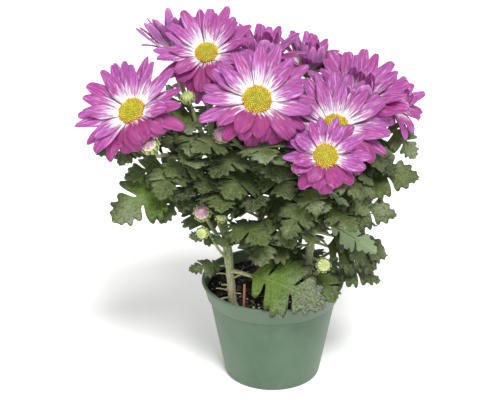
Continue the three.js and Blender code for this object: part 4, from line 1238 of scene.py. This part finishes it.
rule_leaves = []
for stem, first, count, step, turn, long, short in LEAF_RUNS:
    for k in range(count):
        share = k / (count - 1)
        rise, arch = (low + (high - low) * share for low, high in (RUN_RISE, RUN_ARCH))
        side = (k % 2) * RUN_TURN_ON + LEAF_VARIES["turn"] * jitter(turn, k)
        length = long + (short - long) * share
        rule_leaves.append((stem, first + k * step, turn + side, rise, length, arch, 0))

plant_trees = {plant: solid_tree("plant_" + plant) for plant in PLANTS}
foliages = {plant: Piece() for plant in PLANTS}
for seed, row in enumerate(LEAVES + rule_leaves, 1):
    plant = next(name for name, stems in PLANTS.items() if row[0] in stems)
    change = fitting(plant_trees[plant], LEAF_CHANGES, solid_leaf_corners(row, seed))
    if change is not None:
        grow_leaf(growths[plant], foliages[plant], leaf_growth(row, seed, change), seed, leaf_edge)

rough_s, rough_v = np.broadcast_arrays(ROUGH_SHARES[:, None], ROUGH_HALVES[:, None] * (-1, 0, 1))


def rough_leaf(grown):
    """The points of a plain blade that follows a leaf past its stalk, and their surface."""
    points, _ = blade(rough_s, rough_v, leaf_lift(rough_v, grown), grown)
    points = points.reshape(-1, 3)
    return points, surface(points, quads(np.arange(rough_s.size).reshape(rough_s.shape)))


def out_of_place(points):
    """Whether a blade reaches into an open place, or past the top or front of the foliage."""
    inside = [((points > low) & (points < high)).all(1).any() for low, high in OPEN_PLACES]
    return any(inside) or points[:, 1].min() < YOUNG_FRONT or points[:, 2].max() > YOUNG_TOP


def young_leaf(stem, height, turn, seed, others):
    """How a young leaf grows that clears the others, and its surface; None where it has no room."""
    varied = [YOUNG_VARIES[name] * jitter(seed, 11 + i) for i, name in enumerate(YOUNG_VARIES)]
    rise, length, arch = np.add((YOUNG_RISE, YOUNG_LENGTH, YOUNG_ARCH), varied[:3])
    for shrink, aside, lift in product(YOUNG_SHRINKS, YOUNG_TURNS, YOUNG_RISES):
        row = (stem, height, turn + aside, rise + lift, length * shrink, arch, varied[3])
        grown = leaf_growth(row, seed)
        points, shape = rough_leaf(grown)
        if not out_of_place(points) and free(shape, others):
            return grown, shape
    return None, None


solid_surfaces = {node: solid_surface(node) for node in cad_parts}
taken = list(solid_surfaces.values())
seed = YOUNG_SEED
for plant, stems in PLANTS.items():
    for name, (start, *_) in stems.items():
        foot, tip = stem_lines[name][[1, -2], 2]
        low = foot + YOUNG_FIRST["forked" if isinstance(start[0], str) else "rooted"]
        for height in np.arange(low, tip - YOUNG_STEP, YOUNG_STEP):
            grown, shape = young_leaf(name, height, seed * YOUNG_TURN_ON, seed, taken)
            if grown:
                grow_leaf(growths[plant], foliages[plant], grown, seed, leaf_edge[::2])
                taken.append(shape)
            seed += 1

for plant in PLANTS:
    growths[plant].make(plant + "_stems", [stem_skin, bract_skin, hair_skin], "foliage", "plant_" + plant)
    foliages[plant].make(plant + "_leaves", [leaf_green, leaf_pale], "foliage", "plant_" + plant)

# ---------------------------------------------------------------- ray florets
# Each bloom's petals are ray florets: grooved straps with a blunt tip, magenta-pink with a white base, and
# paler underneath. They grow from the rim of a pale green hub in two full rows and a sparse one. Blooms that
# aren't fully open have a fourth row, which still stands up over the disc.
RAY_SOLID = 0.7
RAY_THICKNESS = 0.5
RAY_WIDTH = 0.31
RAY_LOW_WIDTH = 0.15
RAY_ROOT = 0.8
# For each row: how high on the hub it grows, its share of the reach, its own cup, and its turn in rays.
RAY_ROW_HEIGHTS = (-1.3, 0.1, 0.5, 0.8)
RAY_ROW_REACHES = (1, 0.93, 0.8, 1)
RAY_ROW_CUPS = (-3, 7, 16, 0)
RAY_ROW_TURNS = (0, 0.5, 0.25, 0.75)
RAY_SAG = 60
RAY_SAG_SHRINK = 360
RAY_LOW = -90
RAY_VARIES = {"angle": 3, "reach": 0.07, "width": 0.1, "cup": 2.5, "bend": 6, "twist": 14}
# Changes of a ray's cup: the solids were grown with the first that cleared it. A ray that isn't in them,
# since none did, is tried at these shares of its length.
RAY_CHANGES = [0, 7, -7, 14, -14, 22, -22, 32]
RAY_SHRINKS = (0.8, 0.62, 0.46)
SOLID_RAY = [(0.42, 0.84), (0.42, -0.84), (0.87, 0.8), (0.87, -0.8), (1, 0)]
ROUGH_RAY_SHARES = np.linspace(0.3, 0.96, 5)
ROUGH_RAY_SIDES = (-0.8, 0, 0.8)
RAY_ROWS = 16
RAY_COLUMNS = 13
RAY_SEEDS = 20
INNER_ROW = 2
INNER_SPARSE = -0.2
FOLDED_ROW = 3
# Blooms with folded rays: their cup, their arch inwards and their share of a full ray's length.
FOLDED = {
    "right_high": (64, -34, 0.62),
    "right_side": (60, -34, 0.62),
    "crown_middle": (66, -34, 0.66),
    "crown_right": (64, -34, 0.66),
    "crown_back": (60, -6, 0.94),
}
FOLDED_VARIES = {"cup": 6, "bend": 10, "length": 0.15}
# A ray's outline, in shares of its length and half width: its foot, shoulder and taper, how far its tip is
# pointed or blunt, and the notch and slant that it may have there. Then its groove and folds, in millimetres.
RAY_NECK = 0.36
RAY_SHOULDER = 0.6
RAY_TAPER = 0.58
RAY_POINTED = 0.26
RAY_BLUNT = 0.12
RAY_NOTCH = 0.035
RAY_NOTCH_WIDTH = 0.22
RAY_SLANT = 0.03
RAY_GROOVE = 0.34
RAY_TROUGH = (0.5, 0.9)
RAY_WAVE = 0.5
RAY_TIP_CURL = 0.8
HUB_SKIN = 2
HUB_SIDES = 28
HUB_OUTLINE = [(-2, 0.5), (-1.9, 0.78), (-1.2, 0.86), (0.3, 0.84), (0.9, 0.7)]


def ray_growth(bloom, seed, row, k, change=0):
    """How one ray grows: where it starts, its directions and its sizes."""
    middle, level, high, axis = frame_of(bloom)

    def varied(what, count):
        return RAY_VARIES[what] * jitter(seed + count, RAY_SEEDS * row + k)

    a = math.radians((k + RAY_ROW_TURNS[row]) / bloom["rays"] * 360 + varied("angle", 0))
    out = level * math.cos(a) + high * math.sin(a)
    reach = bloom["reach"] * RAY_ROW_REACHES[row] * (1 + varied("reach", 1))
    low = max(0, math.cos(a - math.radians(bloom.get("low", RAY_LOW)))) ** 2
    share = bloom.get("width", RAY_WIDTH) * (1 + RAY_LOW_WIDTH * low + varied("width", 2))
    width = share * (bloom["reach"] - bloom["disc"] / 2)
    sag = bloom.get("sag", RAY_SAG) * low
    hub = RAY_ROOT * bloom["disc"]
    cup = math.radians(bloom["cup"] + RAY_ROW_CUPS[row] + varied("cup", 3) + change)
    return {
        "root": middle + out * hub + axis * RAY_ROW_HEIGHTS[row],
        "along": out * math.cos(cup) + axis * math.sin(cup),
        "up": axis * math.cos(cup) - out * math.sin(cup),
        "length": (reach - hub) * (1 - sag / RAY_SAG_SHRINK),
        "half": width / 2,
        "bend": bloom["bend"] + sag + varied("bend", 4) + max(0, change),
        "roll": 0,
        "twist": varied("twist", 5),
        "low": low,
        "sag_shade": bloom.get("sag_shade", 1),
        "ripe": bloom.get("ripe", 1),
    }


def solid_ray_corners(bloom, seed, row, k):
    corners = np.array(SOLID_RAY)

    def corners_for(change):
        grown = ray_growth(bloom, seed, row, k, change)
        points, face = blade(corners[:, 0], corners[:, 1], 0 * corners[:, 0], grown)
        return points + face * RAY_SOLID / 2

    return corners_for


def grow_ray(piece, grown, seed):
    """Adds one ray: p is the share along it and x the share across it, from edge to edge."""
    p, x = np.meshgrid(np.linspace(0, 1, RAY_ROWS), np.linspace(-1, 1, RAY_COLUMNS), indexing="ij")
    notched = np.exp(-(((x - 0.15 * jitter(seed, 2)) / RAY_NOTCH_WIDTH) ** 2))
    notch = RAY_NOTCH * max(0, jitter(seed, 1)) * notched
    slant = RAY_SLANT * jitter(seed, 3) * x
    blunt = 0.5 + 0.5 * jitter(seed, 8)
    tip = (RAY_POINTED + (RAY_BLUNT - RAY_POINTED) * blunt) * (1 - np.sqrt(np.clip(1 - x**2, 0, 1))) * p
    s = p * (1 - tip - (notch + slant) * p**6)
    t = np.clip(p / RAY_SHOULDER, 0, 1) ** 1.2
    width = RAY_NECK + (1 - RAY_NECK) * t * (2 - t)
    narrowed = np.clip((p - RAY_TAPER) / (1 - RAY_TAPER), 0, 1) ** 2
    width = width * (1 - (0.5 - 0.2 * blunt) * narrowed)
    v = x * width * (0.94 + 0.08 * jitter(seed, 9) + 0.22 * grown["low"])
    ridges = RAY_GROOVE * np.cos(3 * math.pi * x) * np.sin(math.pi * np.clip(p, 0.08, 0.96)) ** 0.5
    trough = (RAY_TROUGH[0] + RAY_TROUGH[1] * jitter(seed, 4)) * x**2 * p
    wave = RAY_WAVE * x * abs(x) * np.sin(2 * math.pi * (1.1 * p + jitter(seed, 5))) * p
    tip_curl = RAY_TIP_CURL * jitter(seed, 6) * p**4
    points, face = blade(s, v, ridges + trough + wave + tip_curl, grown)
    points, face = points.reshape(-1, 3), face.reshape(-1, 3)
    body, inner = thin_points(points, face, RAY_THICKNESS, RAY_ROWS, RAY_COLUMNS)
    # The third mark: a random tone plus the painted shade of a ray that sags low.
    tone = np.full(s.size, 0.2 * jitter(seed, 7) + grown["low"] * grown["sag_shade"])
    marks = np.stack([s.ravel() * grown["ripe"], x.ravel(), tone], -1)
    piece.add(body, thin_faces(RAY_ROWS, RAY_COLUMNS), np.vstack([marks, marks[inner]]), BLADE_SIDES)


PETAL_GLOW = {
    "Specular IOR Level": 0.3,
    "Subsurface Weight": 0.35,
    "Subsurface Radius": (0.004, 0.0012, 0.003),
    "Subsurface Scale": 1.0,
}
petal = Finish("petal_upper", {"Roughness": 0.6, "Sheen Weight": 0.05, **PETAL_GLOW})
along, across, tone = petal.marks()
streaks = petal.speckle(petal.vector(along, across * 1.7, tone * 61), 2.2, 3, 0.65)
threads = petal.speckle(petal.vector(along * 1.2, across * 2.9, tone * 47), 2, 3, 0.7)
clouds = petal.speckle(petal.place(), 60, 2)
# Painted shade for the low rays that sag and face away from the lamps: deeper and redder, with less white at
# the base.
sag_shade = tone.rise(0.1, 0.7)
rosy = petal.mix(clouds.rise(0.3, 0.7), colour(128, 54, 118), colour(146, 76, 142))
# Warmer magenta: at random, and in full on the sagging rays as part of their painted shade.
rosy = petal.mix(tone.rise(-0.02, 0.16) * 0.5, rosy, colour(140, 44, 110))
rosy = petal.mix(along.rise(0.95, 0.25) * 0.5, rosy, colour(170, 104, 170))
rosy = petal.mix(streaks.rise(0.5, 0.66) * 0.65, rosy, colour(196, 142, 200))
rosy = petal.mix(threads.rise(0.5, 0.6) * 0.6, rosy, colour(104, 30, 90))
rosy = petal.mix(sag_shade * (0.92 - along.rise(0.35, 1.0) * 0.4), rosy, colour(120, 18, 80))
# Painted shade in the two grooves along each ray, where its ridges dip.
groove_shade = abs(abs(across) - 0.34).rise(0.13, 0.02) * along.rise(0.2, 0.5) * (1 - sag_shade * 0.6)
rosy = petal.mix(groove_shade * 0.4, rosy, colour(118, 34, 98))
# Painted shade along each ray's edges, out from near its base.
rim_shade = abs(across).rise(0.8, 1.0) * along.rise(0.25, 0.6)
rosy = petal.mix(rim_shade * 0.35, rosy, colour(132, 42, 108))
white = (along + (streaks - 0.5) * 1.3 + sag_shade * 0.26).rise(0.56, 0.1)
pale = petal.mix(along.rise(0.14, 0.02) * 0.8, colour(236, 228, 234), colour(226, 212, 148))
body = petal.mix(white, rosy, pale)
lines = threads.rise(0.49, 0.57) * along.rise(0.12, 0.24) * along.rise(0.8, 0.5)
petal.set({"Base Color": petal.mix(lines * 0.7, body, colour(134, 34, 100))})
petal.bump(threads + streaks * 0.5, 0.5, 0.0005)

petal_back = Finish("petal_under", {"Roughness": 0.65, "Sheen Weight": 0.1, **PETAL_GLOW})
along, across, tone = petal_back.marks()
threads = petal_back.speckle(petal_back.vector(along * 1.2, across * 5, tone * 47), 2, 3, 0.6)
lilac = petal_back.mix(threads.rise(0.35, 0.65), colour(146, 74, 138), colour(186, 124, 182))
petal_back.set({"Base Color": petal_back.mix(along.rise(0.5, 0.05) * 0.8, lilac, colour(222, 206, 212))})
petal_back.bump(threads, 0.4, 0.0004)

hub_skin = Finish("hub_skin", {"Roughness": 0.7})
mottle = hub_skin.speckle(hub_skin.place(), 500, 2)
creamy = hub_skin.mix(mottle.rise(0.3, 0.7), colour(196, 200, 140), colour(220, 222, 176))
hub_skin.set({"Base Color": creamy})


def rough_ray(grown):
    """The surface of a plain strip that follows a ray past its root."""
    s, v = np.meshgrid(ROUGH_RAY_SHARES, ROUGH_RAY_SIDES, indexing="ij")
    points, _ = blade(s, v, 0 * s, grown)
    return surface(points.reshape(-1, 3), quads(np.arange(s.size).reshape(s.shape)))


def clear_ray(bloom, seed, row, k, shrinks, others):
    """A ray that is grown shorter or at another cup until it clears the others; None where it can't."""
    for shrink, change in product(shrinks, RAY_CHANGES):
        grown = ray_growth(bloom, seed, row, k, change)
        grown["length"] *= shrink
        if free(rough_ray(grown), others):
            return grown
    return None


def folded_ray(bloom, seed, k, cup, bend, share):
    """A short inner ray that still stands over the disc."""
    cup = cup - bloom["cup"] + FOLDED_VARIES["cup"] * jitter(seed + 41, k)
    grown = ray_growth(bloom, seed, FOLDED_ROW, k, cup)
    grown["bend"] = bend + FOLDED_VARIES["bend"] * jitter(seed + 42, k)
    grown["length"] *= share * (1 + FOLDED_VARIES["length"] * jitter(seed + 43, k))
    return grown


def ray_in_row(name, seed, row, k, tree, others):
    """How a bloom's ray grows in one of its rows, or None where it has none there."""
    bloom = BLOOMS[name]
    if row == FOLDED_ROW:
        return folded_ray(bloom, seed, k, *FOLDED[name]) if name in FOLDED else None
    if row == INNER_ROW:
        missing = jitter(seed + 40, k) <= INNER_SPARSE
        return None if missing else clear_ray(bloom, seed, row, k, (1, *RAY_SHRINKS), others)
    change = fitting(tree, RAY_CHANGES, solid_ray_corners(bloom, seed, row, k))
    if change is None:
        return clear_ray(bloom, seed, row, k, RAY_SHRINKS, others)
    return ray_growth(bloom, seed, row, k, change)


for number, (name, bloom) in enumerate(BLOOMS.items(), 1):
    node = f"bloom_{name}_rays"
    tree = solid_tree(node)
    others = [solid for other, solid in solid_surfaces.items() if other != node]
    rays = Piece()
    for row, k in product(range(FOLDED_ROW + 1), range(bloom["rays"])):
        grown = ray_in_row(name, 100 * number, row, k, tree, others)
        if grown:
            grow_ray(rays, grown, 1000 * number + RAY_SEEDS * row + k)
    points, faces = turned_round(bloom, [(h, r * bloom["disc"]) for h, r in HUB_OUTLINE], HUB_SIDES)
    rays.add(points, faces, finish=HUB_SKIN)
    rays.make(f"{name}_petals", [petal, petal_back, hub_skin], "rays", node)

# ---------------------------------------------------------------- disc florets
# The button in the middle of each bloom is a dome of tiny tubular florets, set in spirals on the hub. Two in
# three of the outermost are open stars with five points. The outer ones are golden, the middle ones greener.
FLORETS = 165
FLORET_TURN = math.pi * (3 - math.sqrt(5))
FLORET_SIZE = 0.5
FLORET_VARIES = 0.12
FLORET_SUNK = 0.4
FLORET_LEAN = 0.75
OPEN_FROM = 0.8
DISC_FOOT = 0.75
DISC_SIDES = 32
DISC_OUTLINE = [(0, 0.68), (0.6, 0.9), (1.5, 0.97), (2.3, 0.86), (3.2, 0.6), (3.6, 0.3)]
# How high the outer florets stand over the foot and how much higher the middle ones; how deep and how wide
# the dip in the middle is; and how far out the florets reach.
DISC_EDGE = 1.2
DISC_CROWN = 2.4
DISC_DIP = (0.5, 0.25)
DISC_REACH = 0.95
# A floret's rings from foot to tip, height and radius in floret radii; then its number of sides, how far its
# tip is above the last ring, and how high that tip counts in the painted shade that darkens each floret
# towards its foot, so that an open one's sunken throat takes that shade. An open one's widest ring is a star.
CLOSED_FLORET = ([(0, 0.7), (1.0, 0.95), (1.9, 0.82), (2.5, 0.4)], 6, 0.25, 1)
OPEN_FLORET = ([(0, 0.6), (1.4, 0.75), (2.3, 1.25), (1.7, 0.35)], 10, -0.5, 0.3)
FLORET_TALL = 2.5
STAR_RING = 2
STAR_NOTCH = 0.55


def floret(point, axis, turn, size, opened):
    """One floret: its points, its faces and how high each point is on it."""
    level, high = square_to(axis)
    shape, sides, tip, tip_height = OPEN_FLORET if opened else CLOSED_FLORET
    a = turn + angles(sides)
    out = np.cos(a)[:, None] * level + np.sin(a)[:, None] * high
    star = np.where(np.arange(sides) % 2, STAR_NOTCH, 1)
    rings = []
    for i, (height, radius) in enumerate(shape):
        spread = radius * star if opened and i == STAR_RING else np.full(sides, radius)
        rings.append(point + axis * height * size + out * (spread * size)[:, None])
    top = point + axis * size * (shape[-1][0] + tip)
    ids = np.arange(len(shape) * sides).reshape(len(shape), sides)
    fans = np.vstack([fan(ids.size, ids[-1]), fan(ids.size + 1, ids[0], inward=True)])
    heights = np.append(np.repeat([h / FLORET_TALL for h, _ in shape], sides), [tip_height, 0])
    return np.vstack([*rings, [top], [point]]), [quads(ids, across=True), fans], heights


floret_skin = Finish("floret_skin", {"Roughness": 0.6, "Subsurface Weight": 0.1})
out_share, up_share, shade = floret_skin.marks()
closed = floret_skin.mix(shade.rise(-1, 1), colour(156, 156, 20), colour(198, 192, 48))
golden = floret_skin.mix(shade.rise(-1, 1), colour(188, 144, 18), colour(216, 182, 48))
shown = floret_skin.mix(out_share.rise(0.55, 0.95), closed, golden)
# Painted shade: each floret darkens towards its foot, down between its neighbours.
floret_skin.set({"Base Color": floret_skin.mix(up_share.rise(0.6, 0.1), shown, colour(140, 110, 12))})
floret_skin.bump(floret_skin.speckle(floret_skin.place(), 2500, 2), 0.3, 0.0002)

for number, (name, bloom) in enumerate(BLOOMS.items(), 1):
    middle, level, high, axis = frame_of(bloom)
    radius = bloom["disc"]
    disc = Piece()
    points, faces = turned_round(bloom, [(DISC_FOOT + h, r * radius) for h, r in DISC_OUTLINE], DISC_SIDES)
    disc.add(points, faces, (0.5, 0, 0))
    size = FLORET_SIZE * radius * math.sqrt(math.pi / FLORETS)
    for i in range(FLORETS):
        share = math.sqrt((i + 0.5) / FLORETS)
        turn = i * FLORET_TURN
        out = level * math.cos(turn) + high * math.sin(turn)
        dip = DISC_DIP[0] * math.exp(-((share / DISC_DIP[1]) ** 2))
        height = DISC_FOOT + DISC_EDGE + DISC_CROWN * (1 - share**2) - dip
        lean = axis + out * FLORET_LEAN * share**2
        lean /= np.linalg.norm(lean)
        wide = size * (1 + FLORET_VARIES * jitter(number, i))
        point = middle + out * share * radius * DISC_REACH + axis * (height - FLORET_SUNK)
        points, faces, heights = floret(point, lean, turn, wide, share > OPEN_FROM and i % 3 > 0)
        shares = np.full(len(points), share)
        shades = np.full(len(points), jitter(number + 7, i))
        disc.add(points, faces, np.stack([shares, heights, shades], -1))
    disc.make(f"{name}_florets", [floret_skin], "disc", f"bloom_{name}_disc")

# ---------------------------------------------------------------- bud petals
# The rays of an unopened bloom, folded over each other into a tight round head in its green cup. The older
# buds already show pink with pale ridges, and the young ones are still greenish cream.
BUD_OUTLINE = [(0.1, 0.76), (0.35, 0.78), (0.6, 0.7), (0.82, 0.48), (0.96, 0.22), (1.0, 0.04)]
BUD_SIDES = 26
BUD_PETALS = 13
# The two layers of petals: how far up the head each reaches and how far it stands off. Then how much their
# turn and tip vary, and how high their ridge is in shares of the bud's radius.
BUD_LAYERS = [(0.98, 0.1), (0.72, 0.35)]
BUD_TURN_VARIES = 0.2
BUD_TIP_VARIES = 0.06
BUD_RIDGE = 0.09


def bud_finish(name, fold, ridge, foot):
    """A bud's petals: the colours of the folds, of the ridges and near the cup."""
    finish = Finish(name, {"Roughness": 0.55, "Sheen Weight": 0.2})
    along, across, tone = finish.marks()
    threads = finish.speckle(finish.vector(along * 2, across * 8, tone * 9), 2, 2)
    body = finish.mix(abs(across).rise(0.7, 0.1), fold, ridge)
    body = finish.mix(threads.rise(0.4, 0.7) * 0.3, body, fold)
    body = finish.mix(threads.rise(0.5, 0.62) * 0.5, body, foot)
    finish.set({"Base Color": finish.mix((along + (threads - 0.5) * 0.5).rise(0.62, 0.3), body, foot)})
    finish.bump(threads, 0.3, 0.0002)
    return finish


bud_finishes = {
    True: bud_finish("rosy_bud", colour(112, 30, 96), colour(178, 112, 166), colour(212, 208, 160)),
    False: bud_finish("green_bud", colour(120, 140, 62), colour(206, 210, 150), colour(170, 184, 106)),
}
for number, (name, bud) in enumerate(BUDS.items(), 1):
    radius = bud["radius"]
    outline = [(h * radius, r * radius) for h, r in BUD_OUTLINE]
    head = Piece()
    points, faces = turned_round(bud, outline, BUD_SIDES)
    head.add(points, faces, (0.6, 1, 0))
    for layer, (tip, lift) in enumerate(BUD_LAYERS):
        for k in range(BUD_PETALS):
            points, faces, marks = wrapped_scale(
                bud,
                outline,
                (k + layer / 2 + BUD_TURN_VARIES * jitter(number + layer, k)) / BUD_PETALS * 2 * math.pi,
                (0, tip * (1 - BUD_TIP_VARIES * abs(jitter(number, k)))),
                lambda p: math.pi / BUD_PETALS * np.sqrt(np.clip(1 - p**4, 0.02, 1)),
                lambda p, x: lift + BUD_RIDGE * radius * (1 - x**2) * (1 - 0.5 * p),
                rows=12,
                columns=7,
                thickness=0.3,
            )
            head.add(points, faces, marks)
    slot = "bud_rosy" if bud["rosy"] else "bud_green"
    head.make(f"{name}_bud", [bud_finishes[bud["rosy"]]], slot, "bud_" + name)
